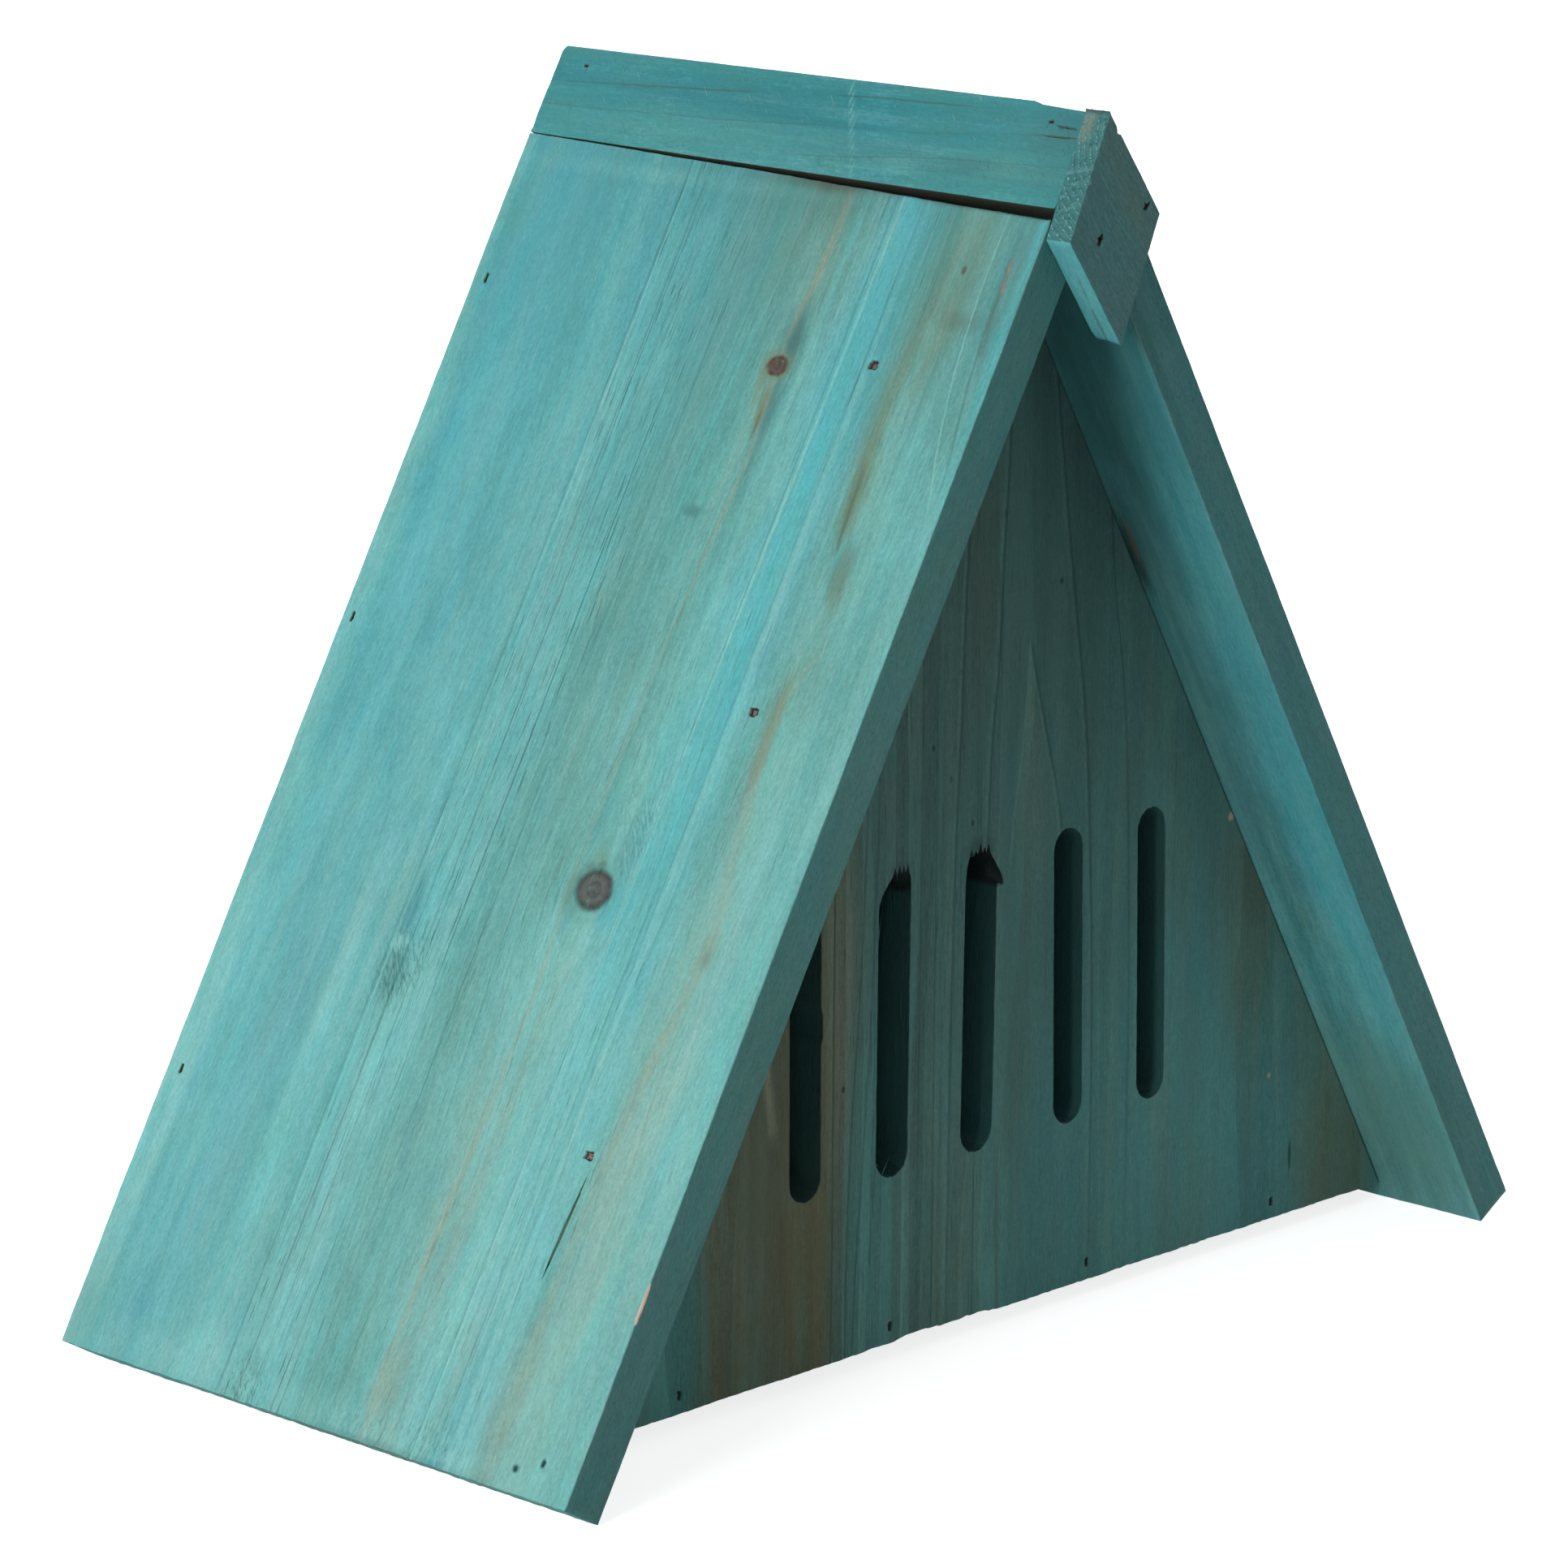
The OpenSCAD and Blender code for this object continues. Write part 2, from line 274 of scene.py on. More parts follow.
def inside(places, loop):
    """Which places lie inside a loop, as a mask."""
    x, y = places[:, :1], places[:, 1:]
    ax, ay = loop[:, 0], loop[:, 1]
    bx, by = np.roll(ax, -1), np.roll(ay, -1)
    crossing = (ay > y) != (by > y)
    rise = np.where(by == ay, 1.0, by - ay)
    return ((x < ax + (y - ay) * (bx - ax) / rise) & crossing).sum(axis=1) % 2 == 1


def between(places, rims):
    """Which places lie inside the first rim and outside the others, as a mask."""
    good = inside(places, rims[0])
    for rim in rims[1:]:
        good &= ~inside(places, rim)
    return good


def gaps(places, others):
    """How far each place is from the nearest of the others."""
    return np.sqrt(((places[:, None, :] - others[None, :, :]) ** 2).sum(axis=2)).min(axis=1)


class Board:
    """A board with worn edges: closed rings of points down its walls and triangles over its faces."""

    def __init__(self, name, lie, thickness, spacing, seed):
        self.node, self.name = name, name + "_wood"
        self.lie, self.thickness = lie, thickness
        self.spacing, self.seed = spacing, seed
        self.points, self.faces, self.marks = [], [], []
        self.loops, self.pits, self.seams, self.knots = [], [], [], []
        self.wear = bpy.context.scene.house_wear
        self.wall_step = 1.6
        self.relief_depth = self.wear.relief / MM
        self.lean = None

    def add(self, u, v, w, pit=0.0, bare=0.0):
        """A point, with how dark it is painted as shade, as in a pit, and how bare of stain it is; hands back
        its number.
        """
        self.points.append((u, v, w))
        self.marks.append((pit, bare))
        return len(self.points) - 1

    def join(self, upper, lower):
        """A band of faces from one ring to the next."""
        count = len(upper)
        for i in range(count):
            j = (i + 1) % count
            self.faces.append((upper[i], upper[j], lower[j], lower[i]))

    def wall(self, loop):
        """The rings of one outline from the front face to the back face: first and last are kept."""
        count = len(loop)
        places = [point.place for point in loop]
        run, total = [], 0.0
        for i in range(count):
            run.append(total)
            total += (places[(i + 1) % count] - places[i]).length
        front = [point.wear for point in loop]
        back = [max(0.08, point.wear * (0.8 + 0.3 * wander(run[i], 6, self.seed + 9)))
                for i, point in enumerate(loop)]
        inner = max(2, round((self.thickness - 1) / self.wall_step))
        levels = [("front", a) for a in (0, 30, 60, 90)]
        levels += [("wall", k / inner) for k in range(1, inner)]
        levels += [("back", a) for a in (90, 60, 30, 0)]
        rings = []
        for kind, value in levels:
            offsets, depths = [], []
            for i, point in enumerate(loop):
                if kind == "wall":
                    deep = front[i] + (self.thickness - front[i] - back[i]) * value
                    share = 1.0
                    offset = 0.0
                else:
                    radius = front[i] if kind == "front" else back[i]
                    turned = math.radians(value)
                    deep = radius * (1 - math.cos(turned))
                    offset = radius * (1 - math.sin(turned))
                    share = math.sin(turned)
                    if kind == "back":
                        deep = self.thickness - deep
                grit = noise.noise(Vector((run[i] / 1.7, deep / 2.4, self.seed)))
                grit += 0.6 * noise.noise(Vector((run[i] / 0.7, deep / 0.8, self.seed + 4)))
                offset += point.rough * share * max(0.0, 0.5 + 0.6 * grit)
                offsets.append(offset)
                depths.append(deep)
            moved = set_back(places, offsets)
            for i, point in enumerate(loop):
                if point.chip and depths[i] < CHIP_DEPTH:
                    moved[i] = moved[i] + point.chip * (1 - depths[i] / CHIP_DEPTH)
            shown = {0: 0.0, 30: 1.0, 60: 1.0, 90: 0.4}[value] if kind == "front" else 0.0
            # Painted shade on walls that are set dark: full down the wall, fading over the worn rim
            deep = 1.0 if kind == "wall" else math.sin(math.radians(value)) ** 2
            rings.append([self.add(moved[i].x, moved[i].y, depths[i], point.dark * deep, point.bare * shown)
                          for i, point in enumerate(loop)])
        for upper, lower in zip(rings, rings[1:]):
            self.join(upper, lower)
        return rings[0], rings[-1]

    def pit_rings(self, pit, number):
        """The rim of a pit, with its wall and floor; the rim is kept for the face round it."""
        rings = []
        # How wide the pit is and how deep, from its rim to its floor
        steps = ((1.0, 0.0), (0.93, 0.25), (0.4 + 0.6 * pit.floor, 0.55), (pit.floor, 0.78),
                 (0.9 * pit.floor, 1.0))
        turned = Matrix.Rotation(math.radians(pit.turn), 2)
        # A full oblong rather than an oval, unless it is a long crack with sharp ends
        crack = pit.long >= CRACK_LENGTH
        power_u, power_v = (1, 1.35) if crack else (0.62, 0.62)
        for scale, share in steps:
            ring = []
            for k in range(pit.count):
                angle = -2 * math.pi * k / pit.count
                shape = Vector((math.cos(angle), math.sin(angle)))
                shape = Vector((math.copysign(abs(shape.x) ** power_u, shape.x),
                                math.copysign(abs(shape.y) ** power_v, shape.y)))
                rag = 1 + pit.ragged * noise.noise(Vector((k * 0.9, number * 3.3, self.seed)))
                shape = turned @ Vector((shape.x * pit.long, shape.y * pit.wide * scale)) * rag
                if not crack:
                    shape *= scale
                # Painted shade: the inside darkens towards the floor
                dark = min(1.0, share * 1.6) * pit.dark
                ring.append(self.add(pit.u + shape.x, pit.v + shape.y, pit.depth * share, dark))
            rings.append(ring)
        for upper, lower in zip(rings, rings[1:]):
            self.join(upper, lower)
        centre = self.add(pit.u, pit.v, pit.depth * 1.05, pit.dark)
        last = rings[-1]
        for k in range(pit.count):
            self.faces.append((last[k], last[(k + 1) % pit.count], centre))
        return rings[0]

    def fill(self, rims, level, face):
        """Triangles over a face, inside its first rim and outside the others."""
        numbers, places, edges = [], [], []
        for rim in rims:
            first = len(numbers)
            numbers.extend(rim)
            places.extend(self.points[n][:2] for n in rim)
            edges.extend((first + k, first + (k + 1) % len(rim)) for k in range(len(rim)))
        rim_places = [np.array([self.points[n][:2] for n in rim]) for rim in rims]
        low, high = rim_places[0].min(axis=0), rim_places[0].max(axis=0)
        dice = random.Random(int(self.seed * 100) + face)
        extra = []
        rows = int((high[0] - low[0]) / (self.spacing * 0.87)) + 1
        columns = int((high[1] - low[1]) / self.spacing) + 1
        for i in range(rows):
            for j in range(columns):
                u, v = (dice.uniform(-0.25, 0.25) * self.spacing for _ in range(2))
                extra.append((low[0] + i * self.spacing * 0.87 + u,
                              low[1] + (j + 0.5 * (i % 2)) * self.spacing + v))
        if not face:
            for u, v, radius in self.knots:
                for share in (0.45, 0.8, 0.95, 1.05, 1.2, 1.6):
                    for k in range(22):
                        angle = 2 * math.pi * (k + share) / 22
                        reach = radius * share
                        extra.append((u + reach * math.cos(angle), v + reach * math.sin(angle)))
        extra = np.array(extra)
        extra = extra[between(extra, rim_places)]
        extra = extra[gaps(extra, np.concatenate(rim_places)) > min(1.0, self.spacing * 0.5)]
        if not face:
            for line in self.seams:
                # A shallow groove: a sunk line with one beside it on each side
                rails = [[(u, v + shift, deep) for u, v in line]
                         for shift, deep in ((-0.35, 0.0), (0.0, 0.14), (0.35, 0.0))]
                extra = extra[gaps(extra, np.array(line)) > 1.6]
                for rail in rails:
                    first = len(places)
                    for u, v, deep in rail:
                        numbers.append(self.add(u, v, level + deep))
                        places.append((u, v))
                    edges.extend((first + k, first + k + 1) for k in range(len(rail) - 1))
        for u, v in extra:
            numbers.append(self.add(float(u), float(v), level))
            places.append((float(u), float(v)))
        flat, _, triangles, origins, _, _ = delaunay_2d_cdt([Vector(p) for p in places], edges, [], 0, 1e-7)
        if len(flat) != len(places):
            crossings = [tuple(spot) for spot, origin in zip(flat, origins) if not origin]
            raise RuntimeError(f"{self.name}: an outline crosses itself at {crossings[:4]}")
        back = [origin[0] for origin in origins]
        centres = np.array([[sum(flat[k][axis] for k in t) / 3 for axis in (0, 1)] for t in triangles])
        for keep, triangle in zip(between(centres, rim_places), triangles):
            if keep:
                self.faces.append([numbers[back[k]] for k in triangle])

    def splinter(self, u, v, w, heading, length, width):
        """A loose fibre: a thin closed spike whose foot is in the wood."""
        heading = Vector(heading).normalized()
        aside = heading.orthogonal().normalized()
        over = heading.cross(aside)
        foot = Vector((u, v, w)) - heading * 0.5
        ring = []
        for k in range(3):
            angle = 2 * math.pi * k / 3
            ring.append(self.add(*(foot + (aside * math.cos(angle) + over * math.sin(angle)) * width), 0.25))
        tip = self.add(*(foot + heading * (length + 0.5)), 0.0)
        self.faces.append((ring[2], ring[1], ring[0]))
        for k in range(3):
            self.faces.append((ring[k], ring[(k + 1) % 3], tip))

    def relief(self, u, v, face):
        """How far a face is hollowed at a place."""
        hollow = 0.5 + 0.5 * noise.noise(Vector((u / 75, v / 24, self.seed + 20 * face)))
        hollow = self.relief_depth * hollow
        if not face:
            for knot_u, knot_v, radius in self.knots:
                away = math.hypot(u - knot_u, (v - knot_v) / 1.2) / radius
                hollow += 0.14 * math.exp(-((away - 1) * 6) ** 2) + 0.05 * math.exp(-(away / 2.2) ** 2)
        return hollow

    def build(self, material):
        """Makes the object, gives it its finish and puts it in the place of its CAD node."""
        fronts, backs = [], []
        for loop in self.loops:
            first, last = self.wall(loop)
            fronts.append(first)
            backs.append(last)
        for number, pit in enumerate(self.pits):
            fronts.append(self.pit_rings(pit, number + 1))
        self.fill(fronts, 0.0, 0)
        self.fill(backs, self.thickness, 1)
        corners = []
        for u, v, w in self.points:
            share = min(1.0, max(0.0, w / self.thickness))
            w += self.relief(u, v, 0) * (1 - share) - self.relief(u, v, 1) * share
            if self.lean:
                u, v = self.lean(u, v, w)
            corners.append(self.lie.place(u, v, w))
        mesh = bpy.data.meshes.new(self.name)
        mesh.from_pydata(corners, [], self.faces)
        shape = bmesh.new()
        shape.from_mesh(mesh)
        bmesh.ops.recalc_face_normals(shape, faces=shape.faces)
        open_edges = sum(1 for edge in shape.edges if not edge.is_manifold)
        if open_edges:
            raise RuntimeError(f"{self.name}: {open_edges} open edges")
        for piece in shape.faces:
            piece.smooth = True
        shape.to_mesh(mesh)
        shape.free()
        for index, mark in enumerate(("pit", "bare")):
            layer = mesh.attributes.new(mark, "FLOAT", "POINT")
            layer.data.foreach_set("value", [values[index] for values in self.marks])
        board = bpy.data.objects.new(self.name, mesh)
        bpy.context.scene.collection.objects.link(board)
        board.data.materials.append(material)
        even = board.modifiers.new("Even shading", "WEIGHTED_NORMAL")
        even.mode = "FACE_AREA"
        even.weight = 80
        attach(board, "root")
        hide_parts(self.node)


# Finishes

class Amount:
    """A number that a finish works out at each place: + - * and / add the nodes for them."""

    def __init__(self, mix, socket):
        self.mix, self.socket = mix, socket

    def __add__(self, other):
        return self.mix.math("ADD", self, other)

    def __sub__(self, other):
        return self.mix.math("SUBTRACT", self, other)

    def __rsub__(self, other):
        return self.mix.math("SUBTRACT", other, self)

    def __mul__(self, other):
        return self.mix.math("MULTIPLY", self, other)

    def __truediv__(self, other):
        return self.mix.math("DIVIDE", self, other)

    def __abs__(self):
        return self.mix.math("ABSOLUTE", self)


class Mix:
    """A finish being mixed for a material or the world: each method adds nodes for it."""

    def __init__(self, owner):
        owner.use_nodes = True
        self.tree = owner.node_tree
        self.tree.nodes.clear()

    def feed(self, socket, value):
        if isinstance(value, Amount):
            value = value.socket
        if isinstance(value, bpy.types.NodeSocket):
            self.tree.links.new(value, socket)
        else:
            socket.default_value = value

    def node(self, kind, inputs=(), **settings):
        made = self.tree.nodes.new(kind)
        for key, value in settings.items():
            setattr(made, key, value)
        for key, value in (inputs.items() if isinstance(inputs, dict) else enumerate(inputs)):
            self.feed(made.inputs[key], value)
        return made

    def amount(self, *facts, output=0, **settings):
        """A node's output as an Amount."""
        return Amount(self, self.node(*facts, **settings).outputs[output])

    def math(self, operation, *values):
        return self.amount("ShaderNodeMath", values, operation=operation)

    def object_place(self):
        """The place in the house, in metres."""
        return self.node("ShaderNodeTexCoord").outputs["Object"]

    def scaled(self, vector, scale, shift=(0, 0, 0)):
        made = self.node("ShaderNodeVectorMath", (vector, scale, shift), operation="MULTIPLY_ADD")
        return made.outputs[0]

    def noise(self, vector, size, detail=2.0, rough=0.5, shift=0.0):
        """Noise from 0 to 1; size is the three lengths over which it changes."""
        place = self.scaled(vector, [1 / s for s in size], (shift, shift * 0.7, shift * 0.3))
        return self.amount("ShaderNodeTexNoise", {"Vector": place, "Scale": 1.0, "Detail": detail,
                                                  "Roughness": rough})

    def swing(self, value, amount):
        """Noise from 0 to 1 as a swing about zero."""
        return self.math("MULTIPLY_ADD", value, amount, -0.5 * amount)

    def ease(self, value, low, high, start=0.0, end=1.0):
        """From start to end, softly, as the value goes from low to high."""
        return self.amount("ShaderNodeMapRange", (value, low, high, start, end),
                           interpolation_type="SMOOTHSTEP")

    def curve(self, value, low, high, points):
        """An amount drawn from points (place, amount), over places from low to high."""
        share = self.amount("ShaderNodeMapRange", (value, low, high, 0.0, 1.0))
        drawn = self.node("ShaderNodeFloatCurve", (1.0, share))
        knots = drawn.mapping.curves[0].points
        while len(knots) < len(points):
            knots.new(0.5, 0.5)
        for knot, (place, amount) in zip(knots, points):
            knot.location = (place - low) / (high - low), amount
        drawn.mapping.extend = "HORIZONTAL"
        drawn.mapping.update()
        return Amount(self, drawn.outputs[0])

    def blend(self, amount, under, over, mode="MIX"):
        made = self.node("ShaderNodeMix", data_type="RGBA", blend_type=mode)
        made.clamp_factor = True
        for index, value in ((0, amount), (6, under), (7, over)):
            self.feed(made.inputs[index], value)
        return made.outputs[2]

    def away(self, value, middle, half):
        """How far a value is from the middle, in half sizes."""
        return self.math("MULTIPLY_ADD", value, 1 / half, -middle / half)

    def squares(self, a, b):
        return self.math("MULTIPLY_ADD", a, a, b * b)

    def distance(self, a, b):
        return self.math("SQRT", self.squares(a, b))

    def spot(self, u, v, cu, cv, ru, rv, soft, grit):
        """A soft-edged oval mask, made ragged by grit."""
        gone = self.distance(self.away(u, cu, ru), self.away(v, cv, rv))
        return self.ease(gone + grit, 1 + soft, 1 - soft)

    def shown(self):
        """1 where the camera, a mirror or glass sees it, and 0 where it only sends light."""
        seen = self.node("ShaderNodeLightPath").outputs
        either = self.math("MAXIMUM", seen["Is Camera Ray"], seen["Is Glossy Ray"])
        return self.math("MAXIMUM", either, seen["Is Transmission Ray"])

    def surface(self, links, fixed=(), bump=None):
        """The shader from its linked and its fixed inputs; bump is strength, depth and height."""
        shader = self.node("ShaderNodeBsdfPrincipled", {**dict(fixed), **links})
        if bump:
            strength, depth, height = bump
            raised = self.node("ShaderNodeBump", {"Strength": strength, "Distance": depth, "Height": height})
            self.feed(shader.inputs["Normal"], raised.outputs[0])
        self.node("ShaderNodeOutputMaterial", (shader.outputs[0],))


# A streak along the grain: points (u, v), half width, colour name, strength, the amounts along it as
# points (u, amount), how far it wanders, and how its width changes as points (u, share)
Streak = namedtuple("Streak", "path width colour strength along wander widths", defaults=((), 0.1, ()))
# A soft patch: middle, half sizes, colour name, strength, softness, and whether it is on the inner face, or
# None where it goes through the board
Patch = namedtuple("Patch", "u v long wide colour strength soft inner", defaults=(0.8, False))
# A knot: middle, half size along the grain, how much wider it is across, its colours and how ragged
# its outline is
Knot = namedtuple("Knot", "u v radius stretch heart halo rim ragged", defaults=("brown", 0.55))


def each(kind, rows):
    """One of a kind from each row."""
    return tuple(kind(*row) for row in rows)


class Wood:
    """What the wood of one board shows. Lengths are in millimetres in the board's own directions."""
    lie = LEFT_ROOF
    reach = (0.0, 276.0)
    width = (0.0, 140.0)
    thickness = ROOF_THICKNESS
    seed = 1.0
    # Colour names: main stain, where it is blue, where it is dull, worn fibres and dark lines
    main, blue, dull, light, line = "teal", "cyan", "grey", "pale", "dark"
    # How blue, how dull and how pale the stain is, across and along the board
    cyan = ((0, 0.4), (140, 0.4))
    grey = ((0, 0.3), (140, 0.3))
    pale = ((0, 0.2), (276, 0.4))
    pale_across = ()
    # Brightness along the board, as painted shade: darker towards the ridge on the roof boards and
    # towards the top of the front gable, under the roof
    shade = ((0, 1.0), (276, 1.0))
    stave_lines = ()
    wave = 1.2
    # Strength of the fine lines, overall and across the board
    fine = 1.0
    fine_across = ((0, 1), (140, 1))
    mottle = 1.0
    # How strongly soft bands and blotches swing the stain, and how much it turns warmer and bluer
    cloud = 1.0
    hue = 1.0
    # How deep the fibres stand out
    fuzz_depth = 1.0
    # Short raised fibres: strength, and their turn from the grain in degrees
    nap, nap_turn = 0.5, 12.0
    # Growth rings: strength of their lines and of the tone between them, and their count across
    rings = 0.25
    ring_tone = 0.12
    ring_path = ((0, 0), (140, 24))
    ring_drift = 1.5
    # Middle of the rings on the end grain, across and into the wood, and their spacing there
    hub = (0.0, -26.0)
    arc_pitch = 1.8
    # Planed edges: their colour, how much of it covers, and how much darker they are from heavier stain and
    # painted shade
    edge_colour, edge_cover, edge_dark = "dark", 0.0, 0.67
    # A dark line along the edges: its depth and where it starts along the grain, or nothing
    edge_line = ()
    end_colour, end_cover, end_dark = "dark", 0.0, 0.62
    end_light = 0.75
    # How much the stain hides the end grain at the far end
    end_paint = 0.0
    # How far the end grain strays, and a stained spot on it: middle, half sizes, colour and strength
    end_wild = 1.0
    end_spot = ()
    # Colour round pits and broken corners, and down dark walls: the paler part of the painted shade
    fringe = "brown"
    # Torn grain: middle, half sizes, the turn of its flecks in degrees, and how dark and how pale they are
    torn = ()
    # Painted shade on the inner face, inside the house
    inner_dark = 1.0
    streaks = ()
    patches = ()
    knots = ()


class Stain(Mix):
    """The finish of one board: stain over the grain that its Wood describes."""

    def __init__(self, name, wood):
        self.material = bpy.data.materials.new(name)
        super().__init__(self.material)
        shades = bpy.context.scene.house_stain
        self.colours = {key: linear(getattr(shades, key)) for key in StainColours.__annotations__}
        self.wood = wood
        self.seed = wood.seed * 13.7
        self.find_place()
        self.find_grain()
        self.main_stain()
        self.growth_rings()
        self.short_lines()
        for patch in wood.patches:
            self.patch(patch)
        self.flecks = None
        for area in wood.torn:
            self.torn_grain(*area)
        for streak in wood.streaks:
            self.streak(streak)
        for knot in wood.knots:
            self.knot(knot)
        if self.seam is not None:
            self.paint(self.ease(self.seam, 0.3, 0.06) * (self.rubbed * 0.3), wood.line)
        self.find_faces()
        self.sawn_ends()
        self.long_edges()
        self.shade_faces()
        self.chips_and_pits()
        self.light_and_dark()
        self.fibres()

    def paint(self, amount, colour):
        """A colour over what is there."""
        self.cover = self.blend(amount, self.cover, self.colours[colour])

    def along(self, points):
        """An amount drawn along the board."""
        return self.curve(self.u, *self.wood.reach, points)

    def across(self, place, points):
        """An amount drawn across the board."""
        return self.curve(place, *self.wood.width, points)

    def dot(self, vector, way):
        return self.amount("ShaderNodeVectorMath", (vector, way), operation="DOT_PRODUCT", output=1)

    def spot_at(self, u, v, w):
        return self.node("ShaderNodeCombineXYZ", (u, v, w)).outputs[0]

    def turned(self, degrees):
        """The place in directions turned from the grain."""
        turn = math.radians(degrees)
        across = self.math("MULTIPLY_ADD", self.v, math.cos(turn), self.u * -math.sin(turn))
        return self.spot_at(self.math("MULTIPLY_ADD", self.u, math.cos(turn), self.v * math.sin(turn)),
                            across, self.w)

    def find_place(self):
        """Where a point lies along the grain, across it and into the wood, and near which face."""
        lie, thickness = self.wood.lie, self.wood.thickness
        spot = self.object_place()
        self.u, self.v, self.w = (self.dot(spot, way / MM) + -lie.start.dot(way) / MM
                                  for way in (lie.along, lie.across, lie.into))
        self.plain = self.spot_at(self.u, self.v, self.w)
        self.near = self.ease(self.w, thickness * 0.32, thickness * 0.22)
        self.far = self.ease(self.w, thickness * 0.68, thickness * 0.78)

    def find_grain(self):
        """The grain, which bends round the knots and starts afresh in each stave."""
        wood, seed, plain = self.wood, self.seed, self.plain
        self.wave = self.noise(plain, (130, 45, 45), 1.0, 0.4, seed)
        self.bent = self.v + self.swing(self.wave, wood.wave * 4)
        for knot in wood.knots:
            beside = self.bent - knot.v
            away = self.squares(self.away(self.u, knot.u, knot.radius * 5),
                                beside * (1 / (knot.radius * 2.6)))
            pull = self.math("EXPONENT", away * -1.0)
            self.bent = self.bent - beside * pull * 0.75
        self.stave, self.seam = None, None
        start, end = wood.reach
        for at_start, at_end in wood.stave_lines:
            tilt = (at_end - at_start) / (end - start)
            line = self.math("MULTIPLY_ADD", self.u, tilt, at_start - start * tilt)
            past = self.math("GREATER_THAN", self.v, line)
            gap = abs(self.v - line)
            self.stave = past if self.stave is None else self.stave + past
            self.seam = gap if self.seam is None else self.math("MINIMUM", self.seam, gap)
        shifted = self.bent if self.stave is None else self.bent + self.stave * 57.0
        self.grain = self.spot_at(self.u, shifted, self.w)
        # Along the grain: fibres, short lines, narrow and broad bands
        self.fibre = self.noise(self.grain, (3.4, 0.5, 0.5), 3.0, 0.7, seed + 3)
        self.lines = self.noise(self.grain, (10, 0.42, 0.42), 1.0, 0.5, seed + 5)
        self.bands = self.noise(self.grain, (90, 4.6, 4.6), 3.0, 0.6, seed + 7)
        self.broad = self.noise(self.grain, (110, 17, 17), 2.0, 0.5, seed + 9)
        # Over the grain: blotches, where lines show, the fuzz of the surface, its nap and its pores
        self.blotch = self.noise(plain, (26, 11, 11), 3.0, 0.6, seed + 11)
        self.where = self.noise(plain, (60, 10, 10), 2.0, 0.5, seed + 12)
        self.fuzz = self.noise(plain, (1.0, 0.62, 0.62), 3.0, 0.75, seed + 13)
        self.nap = self.noise(self.turned(wood.nap_turn), (3.6, 0.42, 0.42), 1.0, 0.5, seed + 15)
        self.dots = self.noise(plain, (0.9, 0.6, 0.6), 1.0, 0.5, seed + 19)
        self.rubbed = self.ease(self.fibre + self.swing(self.fuzz, 0.6), 0.3, 0.7, 0.7, 1.0)

    def main_stain(self):
        """The main colour with its blue, dull and pale shares."""
        wood, cloud = self.wood, self.wood.cloud
        place = self.v + self.swing(self.bands, 9.0)
        blue = self.swing(self.bands, 0.6 * cloud) + self.swing(self.blotch, 0.9 * cloud)
        dull = self.swing(self.broad, 0.9 * cloud) + self.swing(self.bands, 0.7 * cloud)
        pale = self.swing(self.bands, 0.8 * cloud) + self.swing(self.blotch, 1.0 * cloud)
        pale = self.along(wood.pale) + pale + self.swing(self.fuzz, 0.5) + self.swing(self.fibre, 0.6)
        if wood.pale_across:
            pale = pale + self.across(place, wood.pale_across)
        self.cover = self.colours[wood.main]
        self.paint(self.across(place, wood.cyan) + blue, wood.blue)
        self.paint((self.across(place, wood.grey) + dull) * 0.85, wood.dull)
        self.paint(pale * 0.6, wood.light)

    def growth_rings(self):
        """Each ring has its own tone and a thin late line."""
        wood = self.wood
        count = wood.ring_path[-1][1]
        ring = self.across(self.bent, [(place, number / count) for place, number in wood.ring_path]) * count
        ring = ring + self.swing(self.broad, wood.ring_drift * 2) + self.swing(self.wave, wood.ring_drift)
        if self.stave is not None:
            ring = ring + self.stave * 37.3
        share = self.math("FRACT", ring)
        self.tone = self.amount("ShaderNodeTexWhiteNoise", {"W": self.math("FLOOR", ring)},
                                noise_dimensions="1D")
        self.power = self.across(self.v, wood.fine_across) * wood.fine
        late = self.ease(share, 0.8, 0.96) * self.ease(share, 1.0, 0.97) * self.power
        late = late * self.ease(self.where + self.swing(self.fibre, 0.3), 0.38, 0.6, 0.15, 1.0)
        self.late = late * self.ease(self.tone, 0.25, 0.95, 0.0, 1.6)
        self.paint(self.late * wood.rings, wood.line)
        early = self.ease(share, 0.0, 0.04) * self.ease(share, 0.22, 0.05) * self.power
        self.paint(early * (wood.rings * 0.7), wood.light)

    def short_lines(self):
        """Dark grooves, pale raised fibres and dark pores."""
        groove = self.ease(self.lines, 0.36, 0.22) * self.ease(self.where, 0.36, 0.56, 0.15, 1.0)
        ridge = self.ease(self.lines, 0.64, 0.78) * self.ease(self.where, 0.64, 0.44, 0.15, 1.0)
        self.groove = groove * self.power
        self.raised = ridge * self.power + self.ease(self.nap, 0.62, 0.8) * self.wood.nap
        self.paint(self.groove * 0.42, self.wood.line)
        self.paint(self.raised * 0.3, self.wood.light)
        self.paint(self.ease(self.dots, 0.24, 0.12, 0.0, 0.6), self.wood.line)

    def patch(self, patch):
        grit = self.swing(self.bands, 0.9) + self.swing(self.fibre, 0.45) + self.swing(self.blotch, 0.6)
        mask = self.spot(self.u, self.v, patch.u, patch.v, patch.long, patch.wide, patch.soft, grit)
        mask = mask * (self.rubbed * patch.strength)
        if patch.inner is not None:
            mask = mask * (self.far if patch.inner else self.near)
        self.paint(mask, patch.colour)

